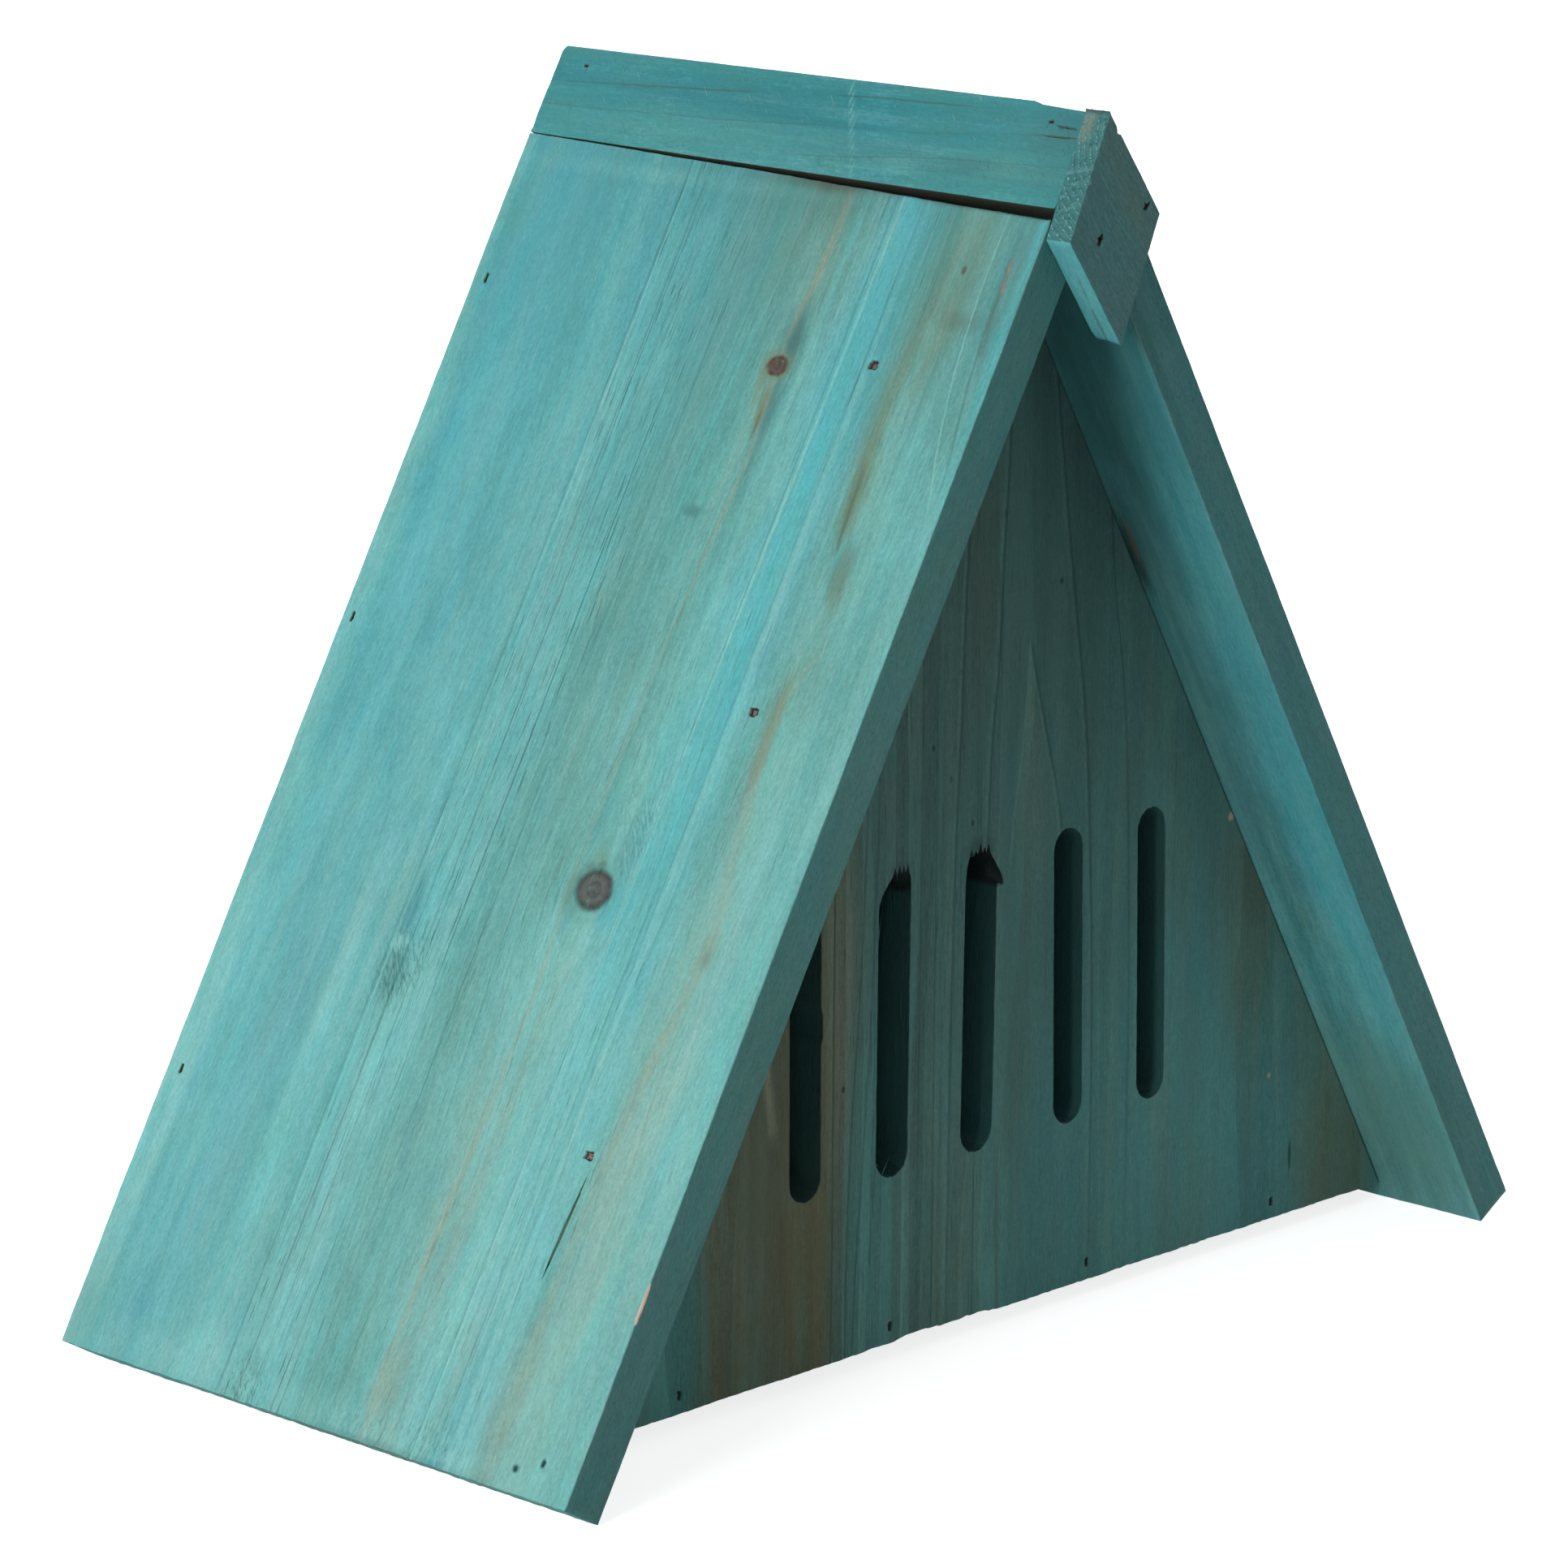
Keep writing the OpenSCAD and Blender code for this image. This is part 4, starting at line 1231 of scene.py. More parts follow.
class FrontGableWood(Wood):
    lie = FRONT_GABLE
    seed = 3.1
    reach = (20.0, 240.4)
    width = (-128.0, 128.0)
    thickness = GABLE_THICKNESS
    main, blue, dull, light, line = "gable", "ridge", "gable_brown", "gable_pale", "dark"
    cyan = ((-128, 0), (-80, 0), (-30, 0.1), (-18, 0.35), (-4, 0.1), (4, 0.3), (20, 0.3), (60, 0.25), (128,
        0.15))
    grey = ((-128, 0.3), (-86, 0.3), (-76, 0.95), (-60, 0.8), (-50, 0.95), (-42, 0.75), (-32, 0.25), (0,
        0.05), (40, 0.1), (90, 0.15), (104, 0.4), (118, 0.45), (128, 0.3))
    pale = ((20, 0.15), (140, 0.3), (240, 0.25))
    # Painted shade: darker towards the top, under the roof
    shade = ((20, 0.46), (70, 0.55), (120, 0.67), (160, 0.79), (200, 0.94), (240, 1.03))
    fine_across = ((-128, 0.5), (-46, 0.6), (-40, 1.4), (4, 1.2), (20, 0.4), (128, 0.25))
    wave = 0.9
    nap = 0.25
    mottle = 1.2
    cloud = 2.0
    hue = 0.5
    # Dark fringe: the painted shade down the slot walls and round the pits
    fringe = "dark"
    rings = 0.3
    ring_tone = 0.42
    ring_path = ((-128, 0), (-76, 5), (-44, 10), (-36, 14), (4, 25), (12, 26), (40, 29), (80, 33), (128, 38))
    ring_drift = 1.2
    inner_dark = 0.7
    streaks = each(Streak, (
        (((20, 4.6), (200, 5.0), (240, 5.8)), 0.8, "brown", 0.7, ((20, 0.0), (202, 0.0), (212, 0.6),
            (240, 0.8))),
        (((20, -72), (240, -72.6)), 1.2, "knot", 0.2, ((20, 0.0), (196, 0.1), (212, 0.9), (240, 1.0)), 0.3),
        (((20, -43), (240, -46)), 2.6, "gable_brown", 0.6, ((20, 0.3), (240, 1.0)), 0.3),
        (((20, -30), (161, -34), (203, -37.2), (240, -38)), 0.4, "dark", 0.9, ((20, 0.5), (240, 1.0))),
        (((20, -28), (167, -31), (203, -33.6), (228, -35.6), (240, -36)), 0.4, "dark", 0.8, ((20, 0.5),
            (240, 0.9))),
        (((20, -26.5), (200, -29.7), (228, -31.7), (240, -32)), 0.35, "dark", 0.8, ((20, 0.2), (190,
            0.4), (240, 1.0))),
        (((20, -17), (240, -18)), 0.4, "dark", 0.7, ((20, 0.3), (140, 0.9), (240, 0.4))),
        (((20, -20.8), (240, -23)), 0.7, "gable_pale", 0.6, ((20, 0.6), (150, 0.7), (240, 0.3))),
        (((20, -11.4), (240, -13)), 0.6, "gable_pale", 0.7, ((20, 0.9), (150, 0.7), (240, 0.3))),
        # Two long lines left of the middle, pale on the left of dark
        (((20, -4.6), (86, -5.7), (100, -6.4), (120, -7.2), (140, -8.3), (240, -10)), 0.6,
            "gable_pale", 0.9, ((20, 0.9), (150, 0.9), (200, 0.5), (240, 0.5))),
        (((20, -3.9), (86, -4.9), (100, -5.6), (120, -6.4), (140, -7.5), (240, -9.2)), 0.45, "dark",
            0.9, ((20, 0.9), (150, 0.9), (240, 0.4))),
        (((20, 6.3), (65, 5.8), (90, 4.3), (110, 3.3), (130, 1.3), (240, 0.4)), 0.7, "gable_pale", 0.8,
            ((20, 0.9), (144, 0.9), (160, 0.2), (240, 0.0))),
        (((20, 7.2), (65, 6.7), (90, 5.2), (110, 4.2), (130, 2.2), (240, 1.2)), 0.45, "dark", 0.9,
            ((20, 0.9), (144, 0.9), (160, 0.2), (240, 0.0))),
        # Two right of it
        (((20, 16), (60, 19.8), (80, 22.4), (100, 25.3), (120, 28.3), (140, 30.3), (240, 32)), 0.8,
            "gable_pale", 0.7, ((20, 0.8), (150, 0.7), (240, 0.3))),
        (((20, 17), (60, 20.7), (80, 23.3), (100, 26.2), (120, 29.2), (140, 31.2), (240, 33)), 0.5,
            "dark", 0.9, ((20, 0.9), (150, 0.9), (240, 0.3))),
        (((20, 30), (80, 36.2), (100, 38.2), (120, 41.2), (140, 42.8), (240, 44)), 0.5, "dark", 0.8,
            ((20, 0.9), (150, 0.8), (240, 0.3))),
        (((20, 58), (240, 57)), 0.4, "dark", 0.4, ((20, 0.8), (240, 0.4))),
        (((20, 33), (150, 34.2), (200, 35.4), (232, 36.4), (240, 36.4)), 0.5, "gable_pale", 0.8, ((20,
            0.0), (150, 0.3), (190, 0.8), (232, 0.9), (236, 0.0), (240, 0.0))),
        # The spear above the fourth slot
        (((20, 13.0), (108, 13.0), (145, 15.0), (240, 15.0)), 8.2, "gable_pale", 0.7, ((20, 0.0), (106,
            0.0), (109, 1.0), (144, 0.9), (166, 0.3), (240, 0.0)), 0.1, ((20, 0.03), (107, 0.03), (125,
            0.45), (145, 0.8), (240, 1.0))),
        (((20, 13.0), (108, 13.0), (145, 15.0), (240, 15.0)), 8.2, "tan", 0.16, ((20, 0.0), (106, 0.0),
            (109, 1.0), (140, 0.8), (160, 0.1), (240, 0.0)), 0.1, ((20, 0.03), (107, 0.03), (125, 0.45),
            (145, 0.8), (240, 1.0))),
        (((20, -41), (240, -42)), 0.35, "pit", 0.9, ((20, 0.0), (140, 0.2), (160, 0.9), (200, 0.6),
            (240, 0.5)), 0.2),
        (((20, -64), (176, -60.2), (195, -57.8), (240, -56)), 1.5, "tan", 0.75, ((20, 0.0), (174, 0.0),
            (179, 1.0), (190, 0.9), (195, 0.0), (240, 0.0))),
        (((20, -13), (240, -13.6)), 0.3, "dark", 0.9, ((20, 0.5), (140, 0.6), (206, 1.0), (240, 1.0))),
        (((20, -1.4), (240, -1.6)), 0.3, "dark", 0.9, ((20, 0.3), (200, 0.5), (212, 1.0), (240, 1.0))),
        (((20, -21), (240, -22)), 1.2, "gable_pale", 0.6, ((20, 0.2), (200, 0.3), (214, 0.9), (240,
            0.8)), 0.2),
        (((20, -9.6), (240, -10.4)), 1.2, "gable_pale", 0.6, ((20, 0.4), (140, 0.8), (214, 0.9), (240,
            0.8)), 0.2),
        (((20, 13.0), (108, 13.0), (116, 12.6), (130, 11.0), (144, 8.6), (200, 7.5), (240, 7.5)), 0.5,
            "gable_pale", 0.9, ((20, 0.0), (106, 0.0), (109, 1.0), (146, 0.9), (156, 0.0), (240, 0.0)),
            0.05),
        (((20, 13.0), (108, 13.0), (115, 14.6), (126, 17.6), (144, 22.0), (200, 24), (240, 24)), 0.5,
            "gable_pale", 0.9, ((20, 0.0), (106, 0.0), (109, 1.0), (146, 0.9), (156, 0.0), (240, 0.0)),
            0.05),
        (((20, 13.6), (108, 13.9), (115, 15.5), (126, 18.5), (144, 22.9), (200, 25), (240, 25)), 0.45,
            "dark", 0.7, ((20, 0.0), (106, 0.0), (109, 1.0), (146, 0.9), (156, 0.0), (240, 0.0)), 0.05),
    ))
    patches = each(Patch, (
        (80, 0, 70, 60, "gable_dull", 0.5, 0.9),
        (90, -10, 50, 14, "gable_brown", 0.12, 0.9),
        (178, 12.5, 40, 7, "dark", 0.3),
        (166, 82, 26, 9, "gable_brown", 0.5, 0.9),
        (188, -54, 52, 15, "gable_brown", 0.6, 0.6),
        (196, -62, 46, 9, "brown", 0.3),
        (222, -85, 34, 7.5, "teal", 0.8, 0.5),
        (222, -30, 40, 10, "teal", 0.3),
        (145.8, -23.0, 1.7, 2.6, "dark", 0.7, 0.6),
        (145.6, -0.8, 2.2, 3.6, "dark", 0.7, 0.6),
        (232, 112, 30, 9, "gable_brown", 0.5),
        (222, 60, 30, 40, "teal", 0.25, 0.9),
        (150, -70, 14, 3, "tan", 0.3),
        (162, -40.5, 34, 3.6, "tan", 0.4),
        (170, -70.5, 12, 1.2, "tan", 0.4, 0.7),
        (227.5, 96.4, 3.0, 0.5, "pit", 0.8, 0.3),
        (152, 75, 0.9, 0.9, "bare", 0.8, 0.4),
        (209, 89, 0.6, 0.6, "bare", 0.6, 0.4),
    )) + tuple(Patch(down, x, 0.7, 0.5, "pit", 0.9, 0.4) for down, x in
              ((80.4, 5.4), (109.8, -6.8), (123.4, -14.4), (130.4, -9.4), (186, -39), (140, -3), (96, 22)))


class BackGableWood(Wood):
    lie = BACK_GABLE
    seed = 4.6
    reach = (20.0, 240.4)
    width = (-128.0, 128.0)
    thickness = GABLE_THICKNESS
    main, blue, dull, light, line = "gable", "teal", "gable_dull", "gable_pale", "dark"
    cyan = ((-128, 0.3), (-40, 0.5), (0, 0.2), (60, 0.6), (128, 0.3))
    grey = ((-128, 0.3), (-70, 0.1), (-20, 0.3), (20, 0.6), (60, 0.1), (128, 0.4))
    pale = ((20, 0.2), (240, 0.5))
    fine_across = ((-128, 0.8), (128, 0.8))
    stave_lines = ((-47.0, -46.2), (52.0, 52.8))
    mottle = 1.2
    cloud = 1.8
    hue = 0.8
    fringe = "dark"
    rings = 0.3
    ring_tone = 0.2
    ring_path = ((-128, 0), (-47, 14), (0, 24), (52, 38), (128, 50))
    inner_dark = 1.0
    patches = (Patch(170, 0, 90, 90, "gable_brown", 0.7, 0.9, True),)
    knots = (Knot(150.0, 22.0, 3.4, 1.2, "knot_grey", "dark"), Knot(206.0, -70.0, 2.4, 1.1, "knot", "dark"))


class FloorWood(Wood):
    lie = FLOOR
    seed = 5.2
    reach = (-128.0, 128.0)
    width = (0.0, 95.0)
    thickness = FLOOR_THICKNESS
    main, blue, dull, light, line = "gable", "teal", "gable_dull", "gable_pale", "dark"
    cyan = ((0, 0.3), (95, 0.3))
    grey = ((0, 0.4), (40, 0.1), (95, 0.4))
    pale = ((-128, 0.3), (128, 0.3))
    shade = ((-128, 1.0), (128, 1.0))
    fine_across = ((0, 0.8), (95, 0.8))
    ring_path = ((0, 0), (95, 22))
    rings = 0.35
    inner_dark = 0.9
    knots = (Knot(60.0, 30.0, 3.0, 1.2, "knot_grey", "dark"),)


class RidgeWood(Wood):
    lie = LEFT_CAP
    seed = 6.4
    reach = (0.0, 140.0)
    width = (0.0, 21.0)
    thickness = CAP_THICKNESS
    main, blue, dull, light, line = "ridge", "ridge_blue", "teal", "pale", "dark"
    cyan = ((0, 0.2), (8, 0.5), (14, 0.4), (21, 0.3))
    grey = ((0, 0.4), (6, 0.15), (12, 0.3), (21, 0.2))
    pale = ((0, -0.12), (70, -0.18), (140, -0.12))
    fine = 0.35
    cloud = 1.2
    hue = 1.2
    mottle = 0.75
    nap, nap_turn = 1.3, -48.0
    shade = ((0, 1.0), (140, 1.0))
    fine_across = ((0, 0.5), (21, 0.5))
    wave = 0.6
    rings = 0.1
    ring_tone = 0.05
    ring_path = ((0, 0), (21, 4))
    ring_drift = 1.0
    streaks = each(Streak, (
        (((0, 2.4), (40, 3.0), (60, 3.6), (90, 5.4), (140, 7.6)), 0.22, "brown", 0.7, ((0, 0.0), (26,
            0.2), (32, 0.8), (60, 0.9), (64, 0.0), (82, 0.0), (88, 0.7), (126, 0.5), (140, 0.0)), 0.2),
        (((0, 9.0), (60, 10.0), (90, 11.4), (140, 12.6)), 0.22, "dark", 0.6, ((0, 0.1), (40, 0.1), (60,
            0.5), (90, 0.7), (140, 0.7)), 0.3),
        (((0, 12.6), (30, 13.8), (66, 16.6), (140, 18.0)), 0.22, "dark", 0.5, ((0, 0.0), (16, 0.6),
            (66, 0.8), (74, 0.0), (140, 0.0)), 0.2),
        (((0, 6.6), (12, 6.8), (42, 9.4), (140, 12)), 0.22, "brown", 0.9, ((0, 0.9), (8, 0.8), (14,
            0.2), (42, 0.15), (48, 0.0), (140, 0.0)), 0.2),
        (((0, 14), (60, 13), (140, 12)), 2.5, "teal", 0.35, ((0, 0.2), (60, 0.5), (140, 0.6)), 1.0),
    ))
    # The slanting scratch in the middle is a row of short pale spots
    patches = tuple(Patch(61.2 - 0.48 * down, down, 0.3, 1.5, "pale", 0.45 - 0.012 * down, 0.7)
                    for down in range(2, 20, 2)) + each(Patch, (
        (40, 15, 24, 3.4, "dark", 0.25),
        (110, 16, 22, 3.0, "teal", 0.35),
        (3, 7, 7, 9, "dark", 0.45),
        (10, 12, 10, 6, "gable", 0.35, 0.9),
        (24, 14.4, 5, 1.6, "dark", 0.3),
    ))


class RightRidgeWood(RidgeWood):
    lie = RIGHT_CAP
    seed = 7.9
    streaks = (
        Streak(((0, 12), (60, 13), (140, 14)), 0.6, "dark", 0.5, ((0, 0.8), (60, 0.4), (140, 0.6)), 1.0),
    )
    patches = ()


class PlateWood(Wood):
    lie = PLATE
    seed = 8.5
    reach = (-20.0, 20.0)
    width = (-12.0, 12.0)
    thickness = PLATE_THICKNESS
    main, blue, dull, light, line = "slate", "ridge", "gable_dull", "pale", "dark"
    cyan = ((-12, 0.1), (12, 0.0))
    grey = ((-12, 0.1), (12, 0.35))
    pale = ((-20, 0.05), (20, 0.1))
    shade = ((-20, 1.0), (20, 1.0))
    fine_across = ((-12, 0.3), (12, 0.3))
    fine = 0.3
    cloud = 0.3
    nap, nap_turn = 0.1, 25.0
    mottle = 0.6
    wave = 0.4
    rings = 0.05
    ring_tone = 0.03
    ring_path = ((-12, 0), (12, 5))
    ring_drift = 0.6
    hub = (10.0, -8.0)
    arc_pitch = 1.3
    # Bright long edges: a painted highlight, barely darkened
    edge_colour, edge_cover, edge_dark = "bright", 0.8, 0.9
    edge_line = (3.2, 0.0)
    end_colour, end_cover, end_dark = "ridge", 0.6, 0.92
    end_light = 0.95
    end_wild = 1.3
    end_spot = (-17.8, 9.4, 4.2, 4.6, "tan", 0.55)
    fuzz_depth = 0.6
    patches = (Patch(1, 6.5, 5, 2.0, "olive", 0.18), Patch(4, -9, 3, 1.6, "gable_dull", 0.2))


def steel_finish(name, seed, stained):
    """Dull brad steel with rust and rubbed-in stain; stained is how much of it the stain covers."""
    material = bpy.data.materials.new(name)
    mix = Mix(material)
    shades = bpy.context.scene.house_stain
    spot = mix.scaled(mix.object_place(), (1 / MM,) * 3)
    rust = mix.noise(spot, (0.9, 0.9, 0.9), 3.0, 0.6, seed)
    scratch = mix.noise(spot, (0.15, 1.2, 0.3), 2.0, 0.5, seed + 4)
    cover = mix.blend(mix.ease(rust, 0.5, 0.7, 0.0, 0.6), linear(shades.steel), linear(shades.knot))
    cover = mix.blend(mix.ease(scratch, 0.5, 0.7, stained, min(1.0, stained + 0.4)), cover,
                      linear(shades.pit))
    mix.surface({"Base Color": cover, "Metallic": mix.ease(rust, 0.62, 0.4, 0.35, 0.9),
                 "Roughness": mix.ease(rust, 0.3, 0.7, 0.38, 0.8)}, bump=(0.6, 0.00006, rust + scratch))
    return material


# Boards

def fray(board, start, end, heading, count, depth, longest, seed):
    """Loose fibres along an edge from start to end, standing out along heading."""
    dice = random.Random(seed)
    start, end = Vector(start), Vector(end)
    for _ in range(count):
        spot = start.lerp(end, dice.random())
        tilt = Vector((dice.uniform(-0.5, 0.5), dice.uniform(-0.5, 0.5), dice.uniform(-0.5, 0.5)))
        board.splinter(spot.x, spot.y, dice.uniform(*depth), Vector(heading) + tilt,
                       dice.uniform(0.3, 1.0) * longest, dice.uniform(0.05, 0.11))


def roof_board(name, lie, wood, seed, left):
    """A roof board: planed long edges, rough sawn ends, brad pits and, on the left, its blemishes."""
    wear = bpy.context.scene.house_wear
    edge, saw = wear.edge / MM, wear.saw / MM
    board = Board(name, lie, ROOF_THICKNESS, 4.2, seed)
    # The left board is a little out of square at its lower back corner
    out_of_square = 1.1 if left else 0.0
    corners = ((BOARD_TOP_FRONT, 0), (SLOPE, 0), (SLOPE, DEPTH - out_of_square), (BOARD_TOP_BACK, DEPTH))

    def chipped(along):
        """The chip on the front edge, near the lower end."""
        middle, half = 236.0, 4.4
        spot = (along + BOARD_TOP_FRONT - middle) / half
        if not left or abs(spot) > 1:
            return 0.0, 0.0, 0.0
        return 0.0, 0.42 * (1 - spot * spot) ** 0.5 * (0.6 + 0.4 * spot), 1.0

    def broken(along):
        """The rounding of the top end, which grows from the middle of the board to its front."""
        return 0.0, 0.85 * min(1.0, max(0.0, (along - 66.0) / 60.0)), 0.0

    sides = (
        dict(dents=0.14, rough=0.05, wear=edge * 0.7, seed=seed + 1, extra=chipped),
        dict(dents=0.16, rough=saw * 0.8, wear=edge * 0.6, seed=seed + 2, step=1.1),
        dict(dents=0.2, rough=0.05, wear=edge * 0.8, seed=seed + 3),
        # The top end lies in the gap under the ridge strip: its wall is painted dark as shade
        dict(dents=0.1, rough=saw * 0.4, wear=edge * 0.3, seed=seed + 4, step=1.1, dark=0.3, extra=broken),
    )
    board.loops.append(outline(corners, sides))
    for u, v in FRONT_ROW:
        board.pits.append(brad_pit(u, v, 0.95, 1.2))
    for u, v in BACK_ROW:
        board.pits.append(brad_pit(u, v, 1.1, 0.5))
    for low, high in wood.stave_lines:
        reach = np.linspace(BOARD_TOP_FRONT + 2, SLOPE - 2, 84)
        board.seams.append([(u, low + (high - low) * u / SLOPE) for u in reach])
    board.knots = [(knot.u, knot.v, knot.radius) for knot in wood.knots]
    if left:
        board.pits.append(Pit(227.6, 24.8, 9.8, 0.42, 4.2, 0.45, 0.25, 0.5, 44, 0.36))
        board.pits.append(Pit(271.4, 15.0, 0.56, 0.52, 0, 0.8, 0.3, 0.7, 12, 0.05))
        board.pits.append(Pit(269.0, 9.0, 0.62, 0.42, 20, 0.8, 0.3, 0.7, 12, 0.05))
    low, number = SLOPE - 0.55, int(seed * 10)
    fray(board, (low, 2), (low, DEPTH - 2), (0.45, 0, -0.05), wear.splinters, (0.3, 9.6), 0.55, number)
    fray(board, (BOARD_TOP_FRONT + 0.6, 2), (BOARD_TOP_BACK + 0.6, DEPTH - 2), (-0.5, 0, 0), wear.splinters,
         (0.3, 6.0), 0.6, number + 1)
    board.build(stained_wood("Roof stain, " + ("left" if left else "right"), wood))


class HOUSE_OT_roof_boards(Operator):
    """Builds the two roof boards"""
    bl_idname = "butterfly_house.roof_boards"
    bl_label = "Roof boards"

    def execute(self, context):
        roof_board("left_roof_board", LEFT_ROOF, LeftRoofWood, 1.3, True)
        roof_board("right_roof_board", RIGHT_ROOF, RightRoofWood, 2.6, False)
        return {"FINISHED"}


# How each slot was cut: its width and where its middle runs, at its top and at its low end
SLOT_CUTS = ((8.4, 0.4, 0.6), (8.8, 0.2, -0.25), (9.0, -0.15, -1.0), (8.4, 0.25, 1.25), (8.3, 0.35, 1.35))
# The torn tops of the second and third slots: how far below the top, and across from the middle
TORN_TOPS = {
    1: ((5.8, -4.25), (3.9, -3.4), (2.7, -2.4), (1.7, -1.5), (0.8, -0.6), (-0.9, 0.1), (0.6, 0.75),
        (-1.2, 1.35), (0.5, 1.95), (-1.0, 2.55), (0.5, 3.1), (-1.3, 3.65), (0.6, 4.1), (1.6, 4.5),
        (3.2, 4.6)),
    2: ((4.8, -4.65), (2.4, -4.35), (1.0, -3.8), (-0.8, -3.2), (0.8, -2.55), (-0.3, -1.9), (0.5, -1.3),
        (-1.6, -0.6), (0.4, 0.0), (-0.7, 0.6), (0.5, 1.1), (-1.2, 1.75), (0.9, 2.3), (2.6, 3.5), (4.6, 4.9),
        (6.3, 5.9), (7.5, 6.2), (7.9, 5.6), (7.3, 4.9), (7.2, 4.35)),
}


def slot_outline(number, middle):
    """One slot as a hole, clockwise, leaning as it was cut, with torn fibres at the tops of two."""
    width, lean_top, lean_low = SLOT_CUTS[number]
    radius = width / 2
    low = GABLE_BOTTOM - SLOT_LIFT
    top = low - SLOT_LENGTH
    turns, rows = 34, 44
    spots = []

    def round_end(middle_drop, way, kind):
        """A half circle that bulges up the gable, or down it."""
        for k in range(turns + 1):
            angle = math.pi * k / turns
            spots.append((middle_drop - way * radius * math.sin(angle), -way * radius * math.cos(angle),
                          kind, k / turns))

    if number in TORN_TOPS:
        torn = TORN_TOPS[number]
        from_left, from_right = max(radius, torn[0][0]), max(radius, torn[-1][0])
        for k, chip in enumerate(torn):
            # The plain top of the slot, which the torn one becomes behind the face
            gone = (from_left + from_right - 2 * radius + math.pi * radius) * k / (len(torn) - 1)
            turned = min(math.pi, max(0.0, (gone - from_left + radius) / radius))
            left = max(0.0, from_left - radius - gone)
            right = max(0.0, gone - (from_left - radius) - math.pi * radius)
            spots.append((top + radius - radius * math.sin(turned) + left + right, -radius * math.cos(turned),
                          "torn", chip))
    else:
        round_end(top + radius, 1, "top")
        from_left = from_right = radius
    for k in range(1, rows):
        reach = SLOT_LENGTH - radius - from_right
        spots.append((top + from_right + reach * k / rows, radius, "right", k / rows))
    round_end(low - radius, -1, "low")
    for k in range(1, rows):
        reach = SLOT_LENGTH - radius - from_left
        spots.append((low - radius - reach * k / rows, -radius, "left", k / rows))
    loop = []
    for index, (u, v, where, share) in enumerate(spots):
        lean = lean_top + (lean_low - lean_top) * (u - top) / SLOT_LENGTH
        if where == "torn":
            place = Vector((u, middle + v + lean))
            chip = Vector((top + share[0], middle + share[1])) - place
            # Painted shade down the torn wall, darker than the plain slot walls
            loop.append(EdgePoint(place, 0.02, 0.07, 0.0, 0.7, chip))
            continue
        v += lean + 0.1 * noise.noise(Vector((index * 0.23, number * 2.7, 4.0)))
        u += 0.12 * noise.noise(Vector((index * 0.31, number * 5.1, 0.0)))
        if where == "top":
            spike = abs(noise.noise(Vector((index * 0.83, number * 7.7, 2.0)))) + 0.5 * (index % 3 == 0)
            u -= 0.22 * spike * max(0.0, math.sin(math.pi * share)) ** 0.5
        if where == "low" and number in TORN_TOPS:
            u += 0.45 * abs(noise.noise(Vector((index * 0.9, number * 3.7, 6.0)))) * math.sin(math.pi * share)
        if where == "right" and number == 0 and 0.38 < share < 0.5:
            v += 0.5
        # Painted shade down the slot walls
        loop.append(EdgePoint(Vector((u, middle + v)), 0.1, 0.2, 0.0, 0.34))
    return loop[::-1] if signed_area([p.place for p in loop]) > 0 else loop


def signed_area(places):
    return sum(a.cross(b) for a, b in zip(places, places[1:] + places[:1])) / 2


def gable(name, lie, wood, seed, front):
    """A gable: slots in the front one, brads into the floor, and a worn lower edge."""
    wear = bpy.context.scene.house_wear
    edge, saw = wear.edge / MM, wear.saw / MM
    board = Board(name, lie, GABLE_THICKNESS, 3.6, seed)
    gap = 0.16
    foot = half_width(GABLE_BOTTOM)
    corners = ((INNER_APEX + 2 * gap, 0), (GABLE_BOTTOM, -foot + gap), (GABLE_BOTTOM, foot - gap))

    def lower_edge(along):
        """The chipped stretch of the front gable's lower edge, left of the middle."""
        x, start, end = along - foot, -34, 8
        if not front or not start < x < end:
            return 0.0, 0.0, 0.0
        fade = min(1.0, (x - start) / 5, (end - x) / 5)
        return fade * (0.3 + 0.55 * wander(x, 6.5, 3.3) + 0.35 * wander(x, 2.2, 8.1)), 0.25 * fade, 0.0

    sides = (
        dict(dents=0.12, rough=0.06, wear=0.3, seed=seed + 1, step=2.2),
        dict(dents=0.25, rough=saw, wear=edge, seed=seed + 2, extra=lower_edge, step=1.1),
        dict(dents=0.12, rough=0.06, wear=0.3, seed=seed + 3, step=2.2),
    )
    board.loops.append(outline(corners, sides))
    if front:
        for number in range(5):
            board.loops.append(slot_outline(number, (number - 2) * SLOT_PITCH))
        low = GABLE_BOTTOM - SLOT_LIFT
        # Debris caught in the second slot, and splinters on its left side and in the third
        board.splinter(low - 0.4, -SLOT_PITCH - 2.0, 1.0, (-0.75, 0.66, 0.1), 4.8, 0.22)
        board.splinter(low - 3.2, -SLOT_PITCH - 4.3, 1.0, (0.5, 0.8, 0.0), 2.6, 0.18)
        board.splinter(low - SLOT_LENGTH + 12.0, -SLOT_PITCH - 4.2, 0.3, (-1.0, 0.1, -0.06), 5.0, 0.2)
        board.splinter(low - SLOT_LENGTH + 0.6, -SLOT_PITCH + 1.0, 0.5, (0.9, 0.3, 0.0), 1.6, 0.1)
        board.splinter(low - SLOT_LENGTH + 0.2, 1.6, 0.6, (0.9, 0.35, 0.0), 1.5, 0.1)
    brad_drop = GABLE_BOTTOM - FLOOR_THICKNESS / 2
    for x in FLOOR_ROW:
        board.pits.append(brad_pit(brad_drop, x, 1.0, 0.65))
    board.knots = [(knot.u, knot.v, knot.radius) for knot in wood.knots]
    material = stained_wood("Gable stain, " + ("front" if front else "back"), wood)
    board.build(material)


